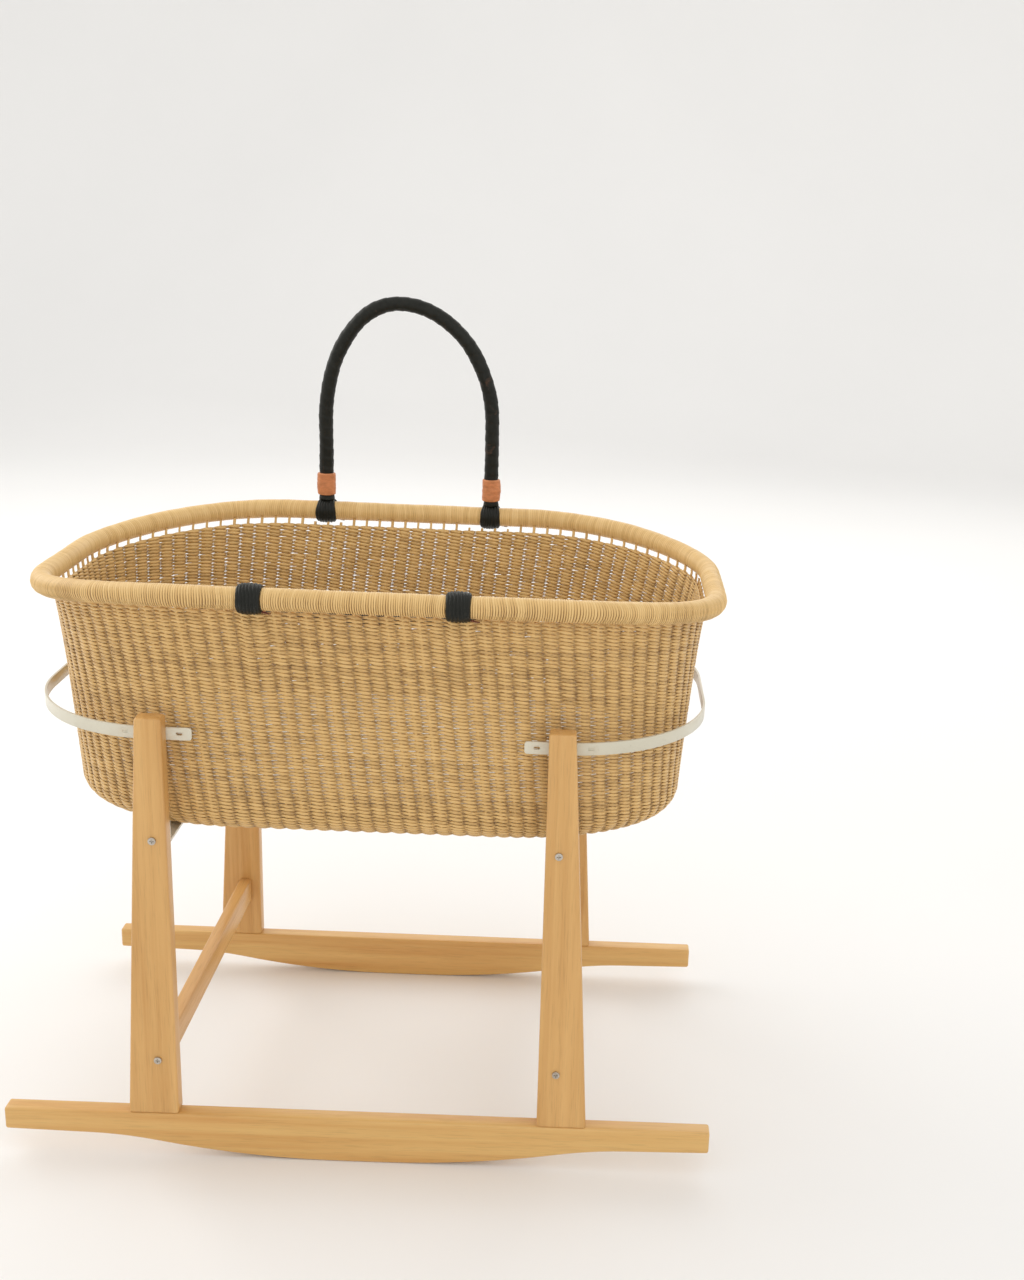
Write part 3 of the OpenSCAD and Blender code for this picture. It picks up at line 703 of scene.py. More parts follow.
def build_fittings():
    for hand in ("left", "right"):
        ease_node(f"end_band_{hand}", 0.0005, 2, "cream")
        ease_node(f"cradle_strap_{hand}", 0.0006, 2, "cream")
    for node in ("stretcher_screws", "strap_bolts", "strap_nuts", "band_screws", "foot_screws"):
        ease_node(node, 0.0004, 2, "steel")
    for node in ("stretcher_dowels", "foot_dowels"):
        ease_node(node, 0.0005, 1, "wood_y")


# ---------------------------------------------------------------------------
# Weave
# ---------------------------------------------------------------------------
def stake_count():
    """An even number of stakes, so that a pair of twined strands closes on itself."""
    return 2 * round(PLAN_LENGTH / bpy.context.scene.bassinet_weave.column_pitch / 2)


def lean_share(w):
    """Drift of the stakes round the plan at run w, as a share of the plan's length."""
    return bpy.context.scene.bassinet_weave.lean * (w - WALL_RUN) / PLAN_LENGTH


def twined_rows(w, steps, sides, seed):
    """Pairs of strands twined round the stakes at runs w. With phase a = pi * stakes * s, a strand stands
    out by swing * sin(a) and is raised by slant * cos(a); its partner has a + pi. Its section is an ellipse,
    tall where it lies in front or behind and narrow where the two cross, where its tint is painted shade."""
    set_up = bpy.context.scene.bassinet_weave
    stakes = stake_count()
    rng = np.random.default_rng(seed)
    m = stakes * steps
    s = np.arange(m) / m
    rows = w[:, None, None]
    partner = np.array([0.0, math.pi])[None, :, None]
    jitter = 0.10 * wave(s[None, None, :] * 97 + rng.uniform(0, 50, (len(w), 1, 1)), seed)
    phase = math.pi * stakes * s[None, None, :] + partner + jitter * np.pi * 0.3
    phase = phase + rng.uniform(-0.08, 0.08, (len(w), 1, 1))
    around = s[None, None, :] - lean_share(rows) + np.zeros_like(phase)
    wobble = 0.00030 * wave(s[None, None, :] * 60 + rng.uniform(0, 50, (len(w), 1, 1)), seed + 1)
    p, _, up, out = wall_frame(around, np.broadcast_to(rows, phase.shape) + wobble)
    front = np.sin(phase)
    thick = 1 + 0.10 * wave(s[None, None, :] * 210 + rng.uniform(0, 50, (len(w), 2, 1)), seed + 2)
    middle = p + out * (set_up.swing * front)[..., None] + up * (set_up.slant * np.cos(phase))[..., None]
    tall = (set_up.strand_low + (set_up.strand_high - set_up.strand_low) * np.abs(front) ** 0.8) * thick
    deep = set_up.strand_deep * thick
    t = -2 * math.pi * (np.arange(sides) + 0.5) / sides
    ring = (
        middle[..., None, :]
        + out[..., None, :] * (deep[..., None] * np.cos(t))[..., None]
        + up[..., None, :] * (tall[..., None] * np.sin(t))[..., None]
    )
    floats = np.floor(phase / math.pi).astype(int)
    shade = rng.uniform(0, 1, (len(w), 2, 1)) * 0.45
    table = rng.uniform(0, 1, 4096)
    own = table[(floats + np.arange(len(w))[:, None, None] * 131) % 4096]
    # painted shade: the last term darkens the tint steeply where the two strands cross, so the necks take the
    # darkest colour of the ramp
    tint = shade + 0.55 * own - 1.0 * (1 - np.abs(front)) ** 4
    count = len(w) * 2
    return ring.reshape(count, m, sides, 3), tint.reshape(count, m)


def build_weave():
    set_up = bpy.context.scene.bassinet_weave
    rows = np.arange(set_up.row_pitch * 0.5, WALL_RUN - set_up.row_pitch * 0.3, set_up.row_pitch)
    steps = 5
    share = 16
    for k in range(0, len(rows), share):
        rings, tint = twined_rows(rows[k:k + share], steps, 5, SEED + k)
        piece = strands_piece(f"wall_weave_{k // share + 1}", rings, tint)
        finish_piece(piece, "basket", "straw", material("straw_weave"), "woven_wall")


def build_stakes():
    """Stakes up the wall and through the open row: a thin rod along the wall's own curve for each column,
    then straight on into the rim. A stake that would stand in a binding's way ends at the wall's top."""
    set_up = bpy.context.scene.bassinet_weave
    stakes = stake_count()
    rng = np.random.default_rng(SEED)
    w = np.concatenate([np.linspace(0.0, TURN_RUN, 5)[:-1], np.linspace(TURN_RUN, WALL_RUN, 12)])
    s = (np.arange(stakes) + 0.5) / stakes
    runs = np.broadcast_to(w[None, :], (stakes, len(w)))
    p, along, _, out = wall_frame(s[:, None] - lean_share(runs), runs)
    top = p[:, -1]
    clear = BINDING_W / 2 + 0.0125
    near = np.abs(np.abs(top[:, 0]) - FOOT_X) < clear
    near &= np.abs(top[:, 1]) > HALF_WIDTH - CORNER_Y
    rise = np.where(near, 0.0003, RIM_HEIGHT - RIM_R * 0.7 - dip(top[:, 0] - SHIFT) - top[:, 2])
    tip = top.copy()
    tip[:, 2] += rise
    on_side = np.abs(top[:, 1]) > 0.06
    tip[:, 1] += np.sign(top[:, 1]) * np.where(near, 0, 0.003) * on_side
    path = np.concatenate([p, tip[:, None]], axis=1)
    along = np.concatenate([along, along[:, -1:]], axis=1)
    out = np.concatenate([out, out[:, -1:]], axis=1)
    n = 6
    t = 2 * math.pi * np.arange(n) / n
    r = set_up.stake_r * (1 + 0.12 * rng.standard_normal((stakes, 1, 1, 1)).clip(-1.5, 1.5))
    around = along[:, :, None] * np.cos(t)[:, None] + out[:, :, None] * np.sin(t)[:, None]
    rings = path[:, :, None] + r * around
    m = rings.shape[1]
    one = grid_faces(m, n, False, True)[:, ::-1]
    faces = (one[None] + (np.arange(stakes) * m * n)[:, None, None]).reshape(-1, 4)
    caps = [k * m * n + np.arange(n) for k in range(stakes)]
    caps += [k * m * n + (m - 1) * n + np.arange(n)[::-1] for k in range(stakes)]
    tint = np.repeat(rng.uniform(0.2, 0.9, stakes), m * n)
    piece = make_piece("wall_stakes", rings.reshape(-1, 3), faces, caps, {"tint": tint})
    finish_piece(piece, "basket", "straw", material("straw_stake"), "rim_stakes")


def build_base():
    """Oval rows of the base: at share k the outline is drawn in to the segment on the middle line, so a point
    is k * outline + (1 - k) * nearest point of the segment. Strands twine up and down round flat spokes."""
    set_up = bpy.context.scene.bassinet_weave
    spine = 0.17
    edge_inset = INSET_LOW + TURN_R
    rows = int((HALF_WIDTH - edge_inset) / set_up.row_pitch)
    k = (np.arange(rows) + 0.6) / rows
    stakes = stake_count()
    steps = 3
    m = stakes * steps
    s = np.arange(m) / m
    x, y = plan_at(s - lean_share(0.0), np.float64(edge_inset))
    spine_x = np.clip(x, -spine, spine)
    rng = np.random.default_rng(SEED + 5)
    px = SHIFT + k[:, None] * x + (1 - k[:, None]) * spine_x
    py = k[:, None] * y
    outward = unit(np.stack([x - spine_x, y], axis=-1))
    partner = np.array([0.0, math.pi])[None, :, None]
    phase = math.pi * stakes * s[None, None, :] + partner + rng.uniform(-0.2, 0.2, (rows, 1, 1))
    mid_z = BASKET_FLOOR + WEAVE_T / 2
    cx = px[:, None] + set_up.slant * np.cos(phase) * outward[None, None, :, 0]
    cy = py[:, None] + set_up.slant * np.cos(phase) * outward[None, None, :, 1]
    cz = mid_z + set_up.swing * 0.8 * np.sin(phase)
    sides = 4
    t = 2 * math.pi * (np.arange(sides) + 0.5) / sides
    wide = (set_up.strand_high * 1.1) * np.cos(t)
    ring = np.stack([
        cx[..., None] + wide * outward[None, None, :, None, 0],
        cy[..., None] + wide * outward[None, None, :, None, 1],
        cz[..., None] + set_up.strand_deep * np.sin(t),
    ], axis=-1)
    ring = ring[:, :, :, ::-1]
    tint = np.broadcast_to(rng.uniform(0.1, 0.9, (rows, 2, 1)), (rows, 2, m))
    half = rows // 2
    for index, part in enumerate((slice(0, half), slice(half, rows))):
        block = ring[part]
        count = block.shape[0] * 2
        rings = block.reshape(count, m, sides, 3)
        piece = strands_piece(f"base_weave_{index + 1}", rings, tint[part].reshape(count, m))
        finish_piece(piece, "basket", "straw", material("straw_weave"), "woven_base")


# ---------------------------------------------------------------------------
# Rim
# ---------------------------------------------------------------------------
def rim_at(s):
    """Middle line of the rim at share s of its length, with its outward and upward directions."""
    step = 5e-4

    def point(q):
        x, y = plan_at(q, np.float64(0.0))
        return np.stack([x + SHIFT, y, RIM_HEIGHT - dip(x)], axis=-1)

    p = point(s)
    along = unit(point(s + step) - point(s - step))
    out = unit(np.cross(along, np.array([0.0, 0.0, 1.0])))
    return p, along, out, unit(np.cross(out, along))


def build_rim():
    """Straw wound round the rim: radius = rim - groove * (1 - |sin(pi * turn)|^0.6), where turn counts the
    straws along the rim and is bent round the tube, so that each straw lies at its own slight slant."""
    set_up = bpy.context.scene.bassinet_rim
    rng = np.random.default_rng(SEED + 20)
    count = int(PLAN_LENGTH * 1.06 / set_up.strand)
    per = 6
    around = 16
    m = count * per
    s = np.arange(m) / m
    t = 2 * math.pi * np.arange(around) / around
    slant = 1.5 * wave(s * 64, SEED + 21, 2)
    curl = 0.9 * wave(s * 52, SEED + 23, 2)
    bend = slant[:, None] * np.cos(t)[None, :] + curl[:, None] * np.cos(2 * t)[None, :]
    width = 0.22 * wave(s * count * 0.9, SEED + 24, 1)
    turn = s[:, None] * count + bend + width[:, None]
    ridge = np.abs(np.sin(math.pi * turn)) ** 0.6
    lump = set_up.lumps * (wave(s * 130, SEED + 25)[:, None] - 1) * (0.6 + 0.4 * np.cos(t - 0.7)[None, :])
    deep = 0.4 + 0.6 * np.clip(np.cos(t + 0.5), 0, 1)[None, :]
    r = RIM_R - set_up.groove * deep * (1 - ridge) + lump * 0.5
    over = np.abs(np.abs(plan_at(s, np.float64(0.0))[0] + SHIFT) - FOOT_X) < BINDING_W / 2 + 0.001
    r = np.where(over[:, None], np.minimum(r, RIM_R - 0.0003), r)
    p, _, out, up = rim_at(s)
    rings = p[:, None] + r[..., None] * (out[:, None] * np.cos(t)[:, None] + up[:, None] * np.sin(t)[:, None])
    table = rng.uniform(0, 1, count + 8)
    # painted shade: the tint darkens the grooves between straws, most on the outer lower side where deep is
    # largest, on top of each straw's random tone
    tint = 1 - deep * (1 - ridge ** 1.6) - 0.36 * table[np.floor(turn).astype(int) % count]
    piece = tube_piece("rim_straw", rings[:, ::-1], True, {"tint": tint[:, ::-1]})
    finish_piece(piece, "basket", "straw", material("straw_rim"), "rim_wrap", "rim_core")


# ---------------------------------------------------------------------------
# Handles
# ---------------------------------------------------------------------------
def handle_line(count):
    """Middle line of a handle in its own plane, evenly spaced: plumb legs and two quarter ellipses that meet
    at the skewed top. Gives the points (x, z), their tangents and the run along them."""
    leg = HANDLE_RISE - ARCH_H
    foot = GRIP_LOW.z - RIM_HEIGHT
    t = np.linspace(0, math.pi, 400)
    reach = np.where(np.cos(t) > 0, FOOT_X - ARCH_SKEW, FOOT_X + ARCH_SKEW)
    x = np.concatenate([np.full(60, -FOOT_X), -ARCH_SKEW - np.cos(t) * reach, np.full(60, FOOT_X)])
    rise = np.linspace(foot, leg, 61)[:-1]
    z = np.concatenate([rise, leg + ARCH_H * np.sin(t), rise[::-1]])
    run = np.concatenate([[0], np.cumsum(np.hypot(np.diff(x), np.diff(z)))])
    at = np.linspace(0, run[-1], count)
    x, z = np.interp(at, run, x), np.interp(at, run, z)
    tangent = unit(np.stack([np.gradient(x), np.gradient(z)], axis=-1))
    return x, z, tangent, at


def place_handle(points, side, turn):
    """Turns points drawn upright round the rim's axis, and moves them to the front (-1) or back (1) rim."""
    c, s = math.cos(side * turn), math.sin(side * turn)
    y = points[..., 1] * c - points[..., 2] * s
    z = points[..., 1] * s + points[..., 2] * c
    return np.stack([points[..., 0], y + side * HALF_WIDTH, z + RIM_HEIGHT], axis=-1)


HANDLES = (("back", 1, 0.0), ("front", -1, FOLD_ANGLE))


def build_grips():
    """A leather strip wound round each grip: the radius climbs by a saw tooth over each turn of the helix,
    turn = run / strip + angle / 2 pi, with slow lumps where the filling is uneven."""
    strip = bpy.context.scene.bassinet_leather.strip
    x, z, tangent, at = handle_line(420)
    n = 32
    t = 2 * math.pi * np.arange(n) / n
    for word, side, turn in HANDLES:
        seed = SEED + 30 + side
        coil = at[:, None] / strip + t[None, :] / (2 * math.pi) + 0.10 * wave(at / 0.03, seed)[:, None]
        tooth = coil - np.floor(coil)
        step = 0.00050 * (np.minimum(tooth / 0.85, (1 - tooth) / 0.15) - 1)
        lump = 0.00045 * (wave(at[:, None] / 0.012 + 2 * np.cos(t), seed + 1) - 1) * 0.7
        bunch = 0.0011 * np.exp(-(np.minimum(at, at[-1] - at) / 0.005) ** 2)
        r = GRIP_R + step + lump + bunch[:, None]
        side_way = np.stack([tangent[:, 1], np.zeros(len(at)), -tangent[:, 0]], axis=-1)
        middle = np.stack([x, np.zeros_like(x), z], axis=-1)
        forward = np.array([0.0, 1.0, 0.0])
        around = side_way[:, None] * np.cos(t)[:, None] + forward * np.sin(t)[:, None]
        rings = middle[:, None] + r[..., None] * around
        piece = tube_piece(f"{word}_grip_leather", place_handle(rings, side, turn), False)
        nodes = (f"{word}_handle_grip", f"{word}_handle_core")
        finish_piece(piece, f"{word}_handle", "black_leather", material("black"), *nodes)


def build_collars():
    """Tan collars: a tube with rounded ends, a little swollen in the middle and pulled in by its creases."""
    base = COLLAR_LOW.z - RIM_HEIGHT
    height = COLLAR_HIGH.z - COLLAR_LOW.z
    inner = GRIP_R - 0.0002
    u = np.linspace(0, 1, 46)
    n = 40
    t = 2 * math.pi * np.arange(n) / n
    for word, side, turn in HANDLES:
        for hand, foot in (("left", -1), ("right", 1)):
            seed = SEED + 40 + side * 3 + foot
            edge = np.clip(np.minimum(u, 1 - u) * height / 0.0016, 0, 1)
            body = COLLAR_R - inner - 0.0004 + 0.00045 * np.sin(math.pi * u) ** 2
            crease = 0.00022 * wave(u[:, None] * 16 + 1.5 * np.sin(t)[None, :], seed)
            seam = -0.0006 * np.exp(-((t - 4.4) / 0.07) ** 2)
            r = inner + (body[:, None] + crease + seam) * np.sqrt(1 - (1 - edge[:, None]) ** 2)
            barrel = 0.0007 * wave(u * 2.2, seed + 1, 2)[:, None]
            points = np.stack([
                foot * FOOT_X + barrel + r * np.cos(t),
                r * np.sin(t),
                np.broadcast_to((base + u * height)[:, None], r.shape),
            ], axis=-1)
            piece = tube_piece(f"{word}_{hand}_collar_leather", place_handle(points, side, turn), False)
            node = f"{word}_collar_{hand}"
            finish_piece(piece, f"{word}_handle", "tan_leather", material("tan"), node)


def build_bindings():
    """Leather lacing round the rim: a closed ring whose section is a flat oval from the rim outwards. Across
    its width run laces, so the radius falls by groove * (1 - |sin|) between them; it narrows to the collar
    above and spreads below."""
    inner = BINDING_R - 0.0038
    laces = 7
    n, m = 96, 44
    t = 2 * math.pi * np.arange(n) / n
    c = np.linspace(0, 1, m)
    for word, side, turn in HANDLES:
        for hand, foot in (("left", -1), ("right", 1)):
            seed = SEED + 60 + side * 5 + foot
            low = np.minimum(t, 2 * math.pi - t)
            if side < 0:
                spread = 0.98 - 0.22 * np.exp(-(low / 0.7) ** 2)
            else:
                spread = 0.76 + 0.24 * np.sin(np.clip(low / 2.1, 0, 1) * math.pi / 2)
                spread -= 0.12 * np.clip((low - 2.3) / 0.8, 0, 1)
            half = BINDING_W / 2 * spread * (1 - 0.03 * (1 + wave(t * 2, seed)))
            across = 2 * c - 1
            drift = 0.45 * np.sin(t + 0.6 * foot)[:, None] + 0.40 * wave(t * 1.5 + seed, seed + 1)[:, None]
            turns = c[None, :] * laces + drift * np.sin(math.pi * c)[None, :]
            lace = np.abs(np.sin(math.pi * turns)) ** 0.55
            crown = (1 - np.abs(across[None, :]) ** 3.2) ** 0.5
            high = BINDING_R - inner - 0.0002
            r = inner + high * crown * (1 - 0.42 * (1 - lace))
            x = foot * FOOT_X + half[:, None] * across[None, :]
            outer = np.stack([x, -r * np.sin(t)[:, None], r * np.cos(t)[:, None]], axis=-1)
            under = np.full((n, 6), inner - 0.0002)
            back = np.linspace(1, -1, 8)[1:-1]
            x_in = foot * FOOT_X + half[:, None] * back[None, :]
            inside = np.stack([x_in, -under * np.sin(t)[:, None], under * np.cos(t)[:, None]], axis=-1)
            rings = np.concatenate([outer, inside], axis=1)
            placed = place_handle(rings[:, ::-1], side, turn)
            piece = tube_piece(f"{word}_{hand}_binding_lacing", placed, True)
            node = f"{word}_binding_{hand}"
            finish_piece(piece, f"{word}_handle", "black_leather", material("black_lace"), node)


def build_ties():
    """Lace ends beside the bindings: two strands twisted together, so a section of two lobes that turns along
    the run, curling and tapering from the binding outwards."""
    for word, _, _ in HANDLES:
        for hand in ("left", "right"):
            node = f"{word}_tie_{hand}"
            low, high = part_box(node)
            u = np.linspace(0, 1, 34)
            n = 16
            t = 2 * math.pi * np.arange(n) / n
            half_y, half_z = (high.y - low.y) / 2, (high.z - low.z) / 2
            taper = 1 - 0.45 * u ** 2
            y = (low.y + high.y) / 2 + 0.25 * half_y * np.sin(u * 5)
            z = (low.z + high.z) / 2 + 0.30 * half_z * np.cos(u * 4)
            x = low.x - 0.0006 + (high.x - low.x) * u
            lobes = 0.58 + 0.42 * np.abs(np.cos(t[None, :] - 14 * u[:, None]))
            points = np.stack([
                np.broadcast_to(x[:, None], (len(u), n)),
                y[:, None] + (half_y * 0.60 * taper)[:, None] * lobes * np.cos(t),
                z[:, None] + (half_z * 0.60 * taper)[:, None] * lobes * np.sin(t),
            ], axis=-1)
            piece = tube_piece(f"{word}_{hand}_tie_lace", points, False)
            finish_piece(piece, f"{word}_handle", "brown_leather", material("brown"), node)


# ---------------------------------------------------------------------------
# Mattress
# ---------------------------------------------------------------------------
PAD_HALF_X, PAD_HALF_Y = 0.327, 0.164
PAD_SPINE = 0.19
PAD_EDGE_R = 0.015
PAD_GAP = 0.0006


def pad_rings(draw, lower, raise_top):
    """Mattress before it swells: plan outlines drawn in along the basket's turn, up the side and over a
    rounded top edge, then inwards to the middle line at a slight crown."""
    r = TURN_R - WEAVE_T - draw
    count = 160
    s = np.arange(count) / count
    angles = np.linspace(0.35, math.pi / 2, 6)
    top = PAD_TOP - lower
    rings = []
    for a in angles:
        x, y = plan_at(s, np.float64(INSET_LOW + TURN_R - r * math.sin(a)))
        rings.append(np.stack([x, y, np.full(count, TURN_Z - r * math.cos(a))], axis=-1))
    side_inset = INSET_LOW + TURN_R - r
    for a in np.linspace(0, math.pi / 2, 7):
        x, y = plan_at(s, np.float64(side_inset + PAD_EDGE_R * (1 - math.cos(a))))
        rings.append(np.stack([x, y, np.full(count, top - PAD_EDGE_R + PAD_EDGE_R * math.sin(a))], axis=-1))
    edge = rings[-1]
    spine = np.clip(edge[:, 0], -PAD_SPINE, PAD_SPINE)
    for k in (0.8, 0.6, 0.4, 0.2, 0.03):
        x = k * edge[:, 0] + (1 - k) * spine
        y = k * edge[:, 1]
        rings.append(np.stack([x, y, np.full(count, top + raise_top * (1 - k * k))], axis=-1))
    floor_ring = rings[0]
    spine_low = np.clip(floor_ring[:, 0], -PAD_SPINE, PAD_SPINE)
    under = []
    for k in (0.03, 0.35, 0.7):
        x = k * floor_ring[:, 0] + (1 - k) * spine_low
        under.append(np.stack([x, k * floor_ring[:, 1], floor_ring[:, 2]], axis=-1))
    return np.array(under + rings) + np.array([SHIFT, 0.0, 0.0])


def swell(piece, set_up):
    """Remeshes the piece and lets a cloth simulation blow it up a little, with each point's travel capped."""
    remesh = piece.modifiers.new("even", "REMESH")
    remesh.mode = "VOXEL"
    remesh.voxel_size = set_up.voxel
    remesh.use_smooth_shade = True
    bpy.context.view_layer.objects.active = piece
    bpy.ops.object.modifier_apply(modifier=remesh.name)
    start = np.zeros(len(piece.data.vertices) * 3, np.float32)
    piece.data.vertices.foreach_get("co", start)
    start = start.reshape(-1, 3)
    cloth = piece.modifiers.new("swell", "CLOTH")
    cloth.settings.quality = 5
    cloth.settings.mass = 0.3
    cloth.settings.tension_stiffness = 12
    cloth.settings.compression_stiffness = 12
    cloth.settings.bending_stiffness = 0.4
    cloth.settings.use_pressure = True
    cloth.settings.uniform_pressure_force = set_up.pressure
    cloth.settings.effector_weights.gravity = 0
    cloth.collision_settings.use_collision = False
    cloth.point_cache.frame_start = 1
    cloth.point_cache.frame_end = set_up.frames
    for step in range(1, set_up.frames + 1):
        bpy.context.scene.frame_set(step)
    shown = piece.evaluated_get(bpy.context.evaluated_depsgraph_get())
    end = np.zeros(len(start) * 3, np.float32)
    shown.data.vertices.foreach_get("co", end)
    piece.modifiers.remove(cloth)
    move = end.reshape(-1, 3) - start
    far = np.linalg.norm(move, axis=1, keepdims=True)
    move *= np.minimum(1, set_up.cap / np.maximum(far, 1e-9))
    bpy.context.scene.frame_set(1)
    return start + move


def hold_in_basket(points):
    """Keeps the pad between base and wall, and under its own top: points past the wall's inner face go back
    to it, and the underside stays flat on the base."""
    r = TURN_R - WEAVE_T - PAD_GAP
    z = points[:, 2]
    drop = np.clip((TURN_Z - z) / r, 0, 1)
    inset = INSET_LOW + TURN_R - r * np.sqrt(1 - drop ** 2)
    straight_x, straight_y = HALF_LENGTH - CORNER_X, HALF_WIDTH - CORNER_Y
    run_x, run_y = CORNER_X - inset, CORNER_Y - inset
    x, y = np.abs(points[:, 0] - SHIFT), np.abs(points[:, 1])
    ax = np.clip(x - straight_x, 0, None) / run_x
    ay = np.clip(y - straight_y, 0, None) / run_y
    out = (ax ** CORNER_POWER + ay ** CORNER_POWER) ** (1 / CORNER_POWER)
    k = np.where(out > 1, 1 / np.maximum(out, 1e-9), 1.0)
    x = np.where(ax > 0, straight_x + ax * k * run_x, np.minimum(x, straight_x + run_x))
    y = np.where(ay > 0, straight_y + ay * k * run_y, y)
    x = np.sign(points[:, 0] - SHIFT) * x
    y = np.sign(points[:, 1]) * y
    z = np.clip(z, BASE_TOP + PAD_GAP, PAD_TOP + 0.004)
    return np.stack([x + SHIFT, y, z], axis=-1)


def tuck(points):
    """Soft folds of the fitted sheet: long shallow puckers over the top edge that fade towards the middle,
    deepest where the corners gather it, and faint hollows across the top."""
    x, y, z = points.T - np.array([[SHIFT], [0.0], [0.0]])
    angle = np.arctan2(y / PAD_HALF_Y, x / PAD_HALF_X)
    high = np.clip(1 - (PAD_TOP - z) / 0.03, 0, 1)
    edge = high * np.clip((np.hypot(x / PAD_HALF_X, y / PAD_HALF_Y) - 0.62) / 0.38, 0, 1)
    corner = 0.35 + 0.65 * np.abs(np.sin(2 * angle)) ** 2
    pucker = 0.0011 * wave(angle * 30, SEED + 80) * edge * corner
    top = np.clip((z - PAD_TOP + 0.01) / 0.01, 0, 1)
    broad = 0.0016 * wave(x * 15 + 1.2 * wave(y * 12, SEED + 82), SEED + 81) * top
    return np.stack([x + SHIFT, y, z + pucker + broad - 0.0015], axis=-1)


def build_mattress():
    set_up = bpy.context.scene.bassinet_pad
    rings = pad_rings(0.0030, 0.004, 0.002)
    piece = tube_piece("mattress_in_fitted_sheet", rings, False)
    points = swell(piece, set_up)
    points = hold_in_basket(tuck(points))
    piece.data.vertices.foreach_set("co", points.astype(np.float32).ravel())
    piece.data.polygons.foreach_set("use_smooth", np.full(len(piece.data.polygons), True))
    smooth = piece.modifiers.new("finer", "SUBSURF")
    smooth.levels = smooth.render_levels = 1
    finish_piece(piece, "basket", "cotton", material("cotton"), "mattress_foam", "fitted_sheet")


# ---------------------------------------------------------------------------
# Stage
# ---------------------------------------------------------------------------
CAMERA_AT = (0.2252, -1.6035, 1.0200)
CAMERA_TURN = tuple(math.radians(a) for a in (0.559, 16.687, 2.446))
CAMERA_SHIFT = -0.06875


def build_camera():
    """Camera at standing height: yaw to the right, pitch down and roll, as a rotation matrix of its axes."""
    data = bpy.data.cameras.new("camera")
    data.lens = bpy.context.scene.bassinet_stage.lens
    data.sensor_width = 36
    data.shift_x = CAMERA_SHIFT
    data.clip_start = 0.05
    camera = bpy.data.objects.new("camera", data)
    bpy.context.scene.collection.objects.link(camera)
    yaw, pitch, roll = CAMERA_TURN
    ahead = np.array([math.sin(yaw) * math.cos(pitch), math.cos(yaw) * math.cos(pitch), -math.sin(pitch)])
    right = np.array([math.cos(yaw), -math.sin(yaw), 0.0])
    up = np.cross(right, ahead)
    c, s = math.cos(roll), math.sin(roll)
    rolled_right = c * right + s * up
    rolled_up = -s * right + c * up
    axes = np.eye(4)
    axes[:3, 0], axes[:3, 1], axes[:3, 2], axes[:3, 3] = rolled_right, rolled_up, -ahead, CAMERA_AT
    camera.matrix_world = Matrix(axes.tolist())
    bpy.context.scene.camera = camera
    bpy.context.scene.view_settings.view_transform = "Standard"


def plain_material(name, colour, rough):
    n = Nodes(name)
    soft = n.noise(n.stretched((1.5, 1.5, 1.5)), 1.0, 3.0, 0.5)
    n.set(Base_Color=n.ramp(soft, [(0.3, tuple(c * 0.985 for c in colour)), (0.7, colour)]), Roughness=rough)
    return n.material


def build_floor():
    """Floor and backdrop in one sweep: flat, then a quarter circle up to a plain wall far behind."""
    run = np.concatenate([[-6.0, -3.0, 0.0, 2.0], 4.0 + 2.0 * np.sin(np.linspace(0, math.pi / 2, 14)), [6.0]])
    rise = np.concatenate([[0, 0, 0, 0], 2.0 - 2.0 * np.cos(np.linspace(0, math.pi / 2, 14)), [7.0]])
    x = np.linspace(-9, 9, 7)
    points = np.stack([
        np.broadcast_to(x[None, :], (len(run), len(x))),
        np.broadcast_to(run[:, None], (len(run), len(x))),
        np.broadcast_to(rise[:, None], (len(run), len(x))),
    ], axis=-1)
    floor = make_piece("floor", points.reshape(-1, 3), grid_faces(len(run), len(x), False, False)[:, ::-1])
    floor.data.materials.append(plain_material("plain_floor", (0.86, 0.855, 0.845), 0.7))


def add_area(name, at, towards, size, power, colour):
    data = bpy.data.lights.new(name, "AREA")
    data.shape = "RECTANGLE"
    data.size, data.size_y = size
    data.energy = power
    data.color = colour
    lamp = bpy.data.objects.new(name, data)
    bpy.context.scene.collection.objects.link(lamp)
    back = unit(np.array(at, float) - np.array(towards, float))
    right = unit(np.cross(np.array([0.0, 0.0, 1.0]), back))
    axes = np.eye(4)
    axes[:3, 0], axes[:3, 1], axes[:3, 2], axes[:3, 3] = right, np.cross(back, right), back, at
    lamp.matrix_world = Matrix(axes.tolist())


def build_lights():
    set_up = bpy.context.scene.bassinet_stage
    world = bpy.data.worlds.new("soft_sky")
    world.use_nodes = True
    background = world.node_tree.nodes["Background"]
    background.inputs["Color"].default_value = (1.0, 0.99, 0.975, 1)
    background.inputs["Strength"].default_value = set_up.sky
    bpy.context.scene.world = world
    add_area("window_left", (-2.6, 1.1, 2.1), (0, 0, 0.5), (2.6, 2.2), set_up.window, (1.0, 0.985, 0.96))
    add_area("window_back", (0.6, 3.2, 2.3), (0, 0, 0.6), (3.4, 2.0), set_up.window * 0.7, (1.0, 0.985, 0.96))
    add_area("fill_front", (1.2, -3.0, 2.4), (0, 0, 0.4), (3.0, 2.0), set_up.window * 0.25, (1.0, 0.97, 0.93))


# ---------------------------------------------------------------------------
# Operators, panel and registration
# ---------------------------------------------------------------------------
class BASSINET_OT_stage(bpy.types.Operator):
    """Adds the camera, the plain floor and the soft lights"""

    bl_idname = "bassinet.stage"
    bl_label = "Stage"

    def execute(self, context):
        build_camera()
        build_floor()
        build_lights()
        return {"FINISHED"}


class BASSINET_OT_boards(bpy.types.Operator):
    """Adds the rockers, uprights and stretchers"""

    bl_idname = "bassinet.boards"
    bl_label = "Boards"

    def execute(self, context):
        build_boards()
        return {"FINISHED"}


class BASSINET_OT_fittings(bpy.types.Operator):
    """Finishes the bands, straps, screws and dowels"""

    bl_idname = "bassinet.fittings"
    bl_label = "Fittings"

    def execute(self, context):
        build_fittings()
        return {"FINISHED"}


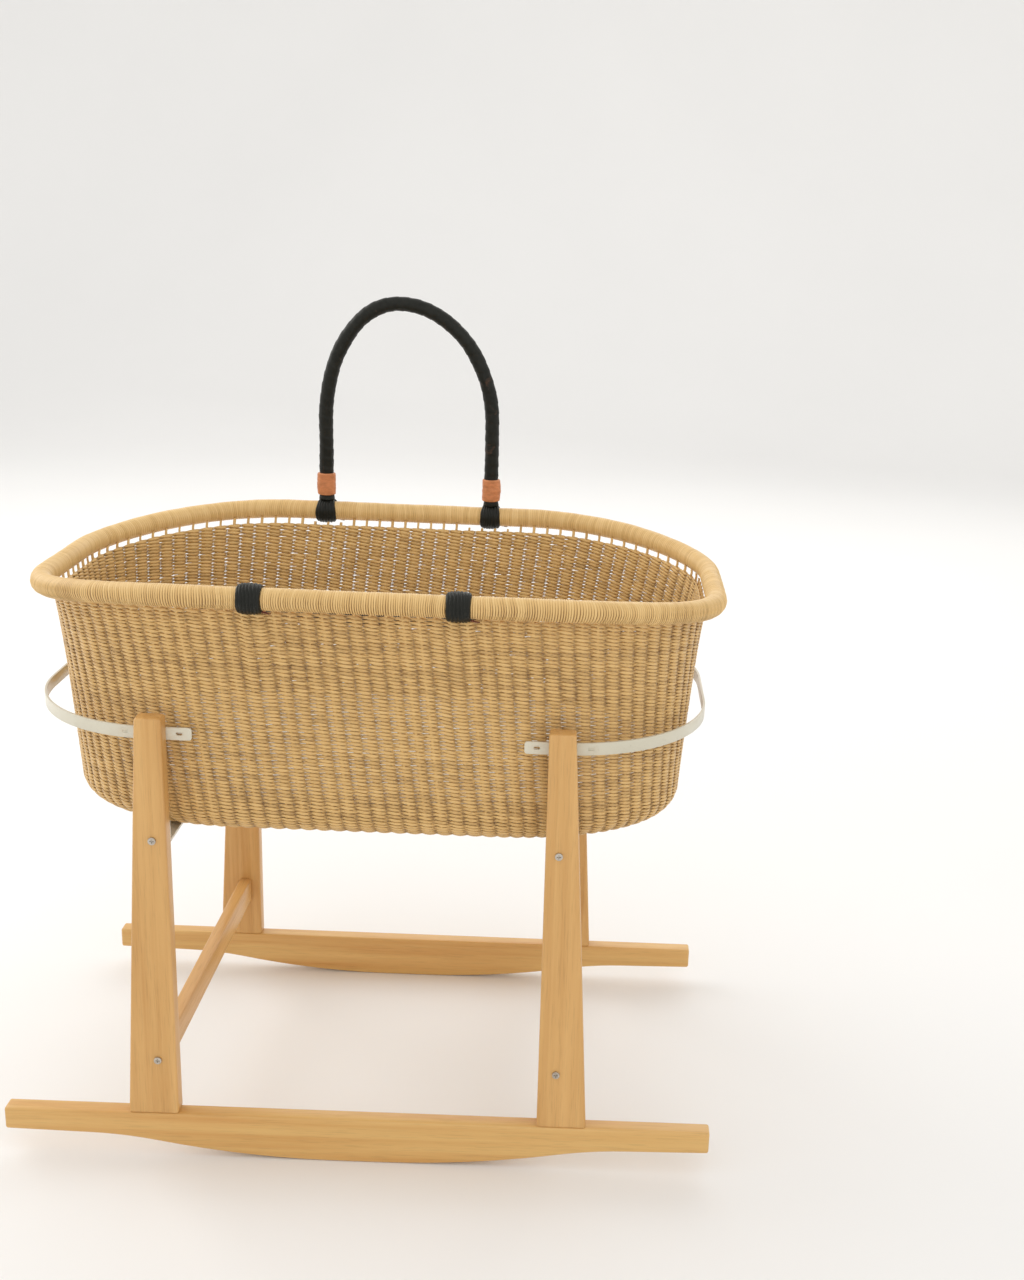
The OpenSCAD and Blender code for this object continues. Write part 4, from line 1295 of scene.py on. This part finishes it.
class BASSINET_OT_weave(bpy.types.Operator):
    """Adds the twined wall, its stakes and the base"""

    bl_idname = "bassinet.weave"
    bl_label = "Woven Basket"

    def execute(self, context):
        build_weave()
        build_stakes()
        build_base()
        return {"FINISHED"}


class BASSINET_OT_rim(bpy.types.Operator):
    """Adds the straw wound round the rim"""

    bl_idname = "bassinet.rim"
    bl_label = "Rim"

    def execute(self, context):
        build_rim()
        return {"FINISHED"}


class BASSINET_OT_grips(bpy.types.Operator):
    """Adds the leather grips and their tan collars"""

    bl_idname = "bassinet.grips"
    bl_label = "Grips"

    def execute(self, context):
        build_grips()
        build_collars()
        return {"FINISHED"}


class BASSINET_OT_bindings(bpy.types.Operator):
    """Adds the lacing round the rim and its loose ends"""

    bl_idname = "bassinet.bindings"
    bl_label = "Bindings"

    def execute(self, context):
        build_bindings()
        build_ties()
        return {"FINISHED"}


class BASSINET_OT_mattress(bpy.types.Operator):
    """Adds the mattress in its fitted sheet"""

    bl_idname = "bassinet.mattress"
    bl_label = "Mattress"

    def execute(self, context):
        build_mattress()
        return {"FINISHED"}


OPERATORS = (
    BASSINET_OT_stage,
    BASSINET_OT_boards,
    BASSINET_OT_fittings,
    BASSINET_OT_weave,
    BASSINET_OT_rim,
    BASSINET_OT_grips,
    BASSINET_OT_bindings,
    BASSINET_OT_mattress,
)


class BASSINET_PT_panel(bpy.types.Panel):
    """The sidebar's list of pieces and their settings"""

    bl_idname = "BASSINET_PT_panel"
    bl_label = "Woven Bassinet"
    bl_space_type = "VIEW_3D"
    bl_region_type = "UI"
    bl_category = "Bassinet"

    def draw(self, context):
        for kind in OPERATORS:
            self.layout.operator(kind.bl_idname)
        for key, settings in SETTINGS.items():
            box = self.layout.box()
            for field in settings.__annotations__:
                box.prop(getattr(context.scene, key), field)


def register():
    for kind in (*SETTINGS.values(), *OPERATORS, BASSINET_PT_panel):
        bpy.utils.register_class(kind)
    for key, settings in SETTINGS.items():
        setattr(bpy.types.Scene, key, PointerProperty(type=settings))


def unregister():
    for key in SETTINGS:
        delattr(bpy.types.Scene, key)
    for kind in reversed((*SETTINGS.values(), *OPERATORS, BASSINET_PT_panel)):
        bpy.utils.unregister_class(kind)


def main():
    register()
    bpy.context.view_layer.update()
    bpy.ops.bassinet.stage()
    bpy.ops.bassinet.boards()
    bpy.ops.bassinet.fittings()
    bpy.ops.bassinet.weave()
    bpy.ops.bassinet.rim()
    bpy.ops.bassinet.grips()
    bpy.ops.bassinet.bindings()
    bpy.ops.bassinet.mattress()


if __name__ == "__main__":
    main()
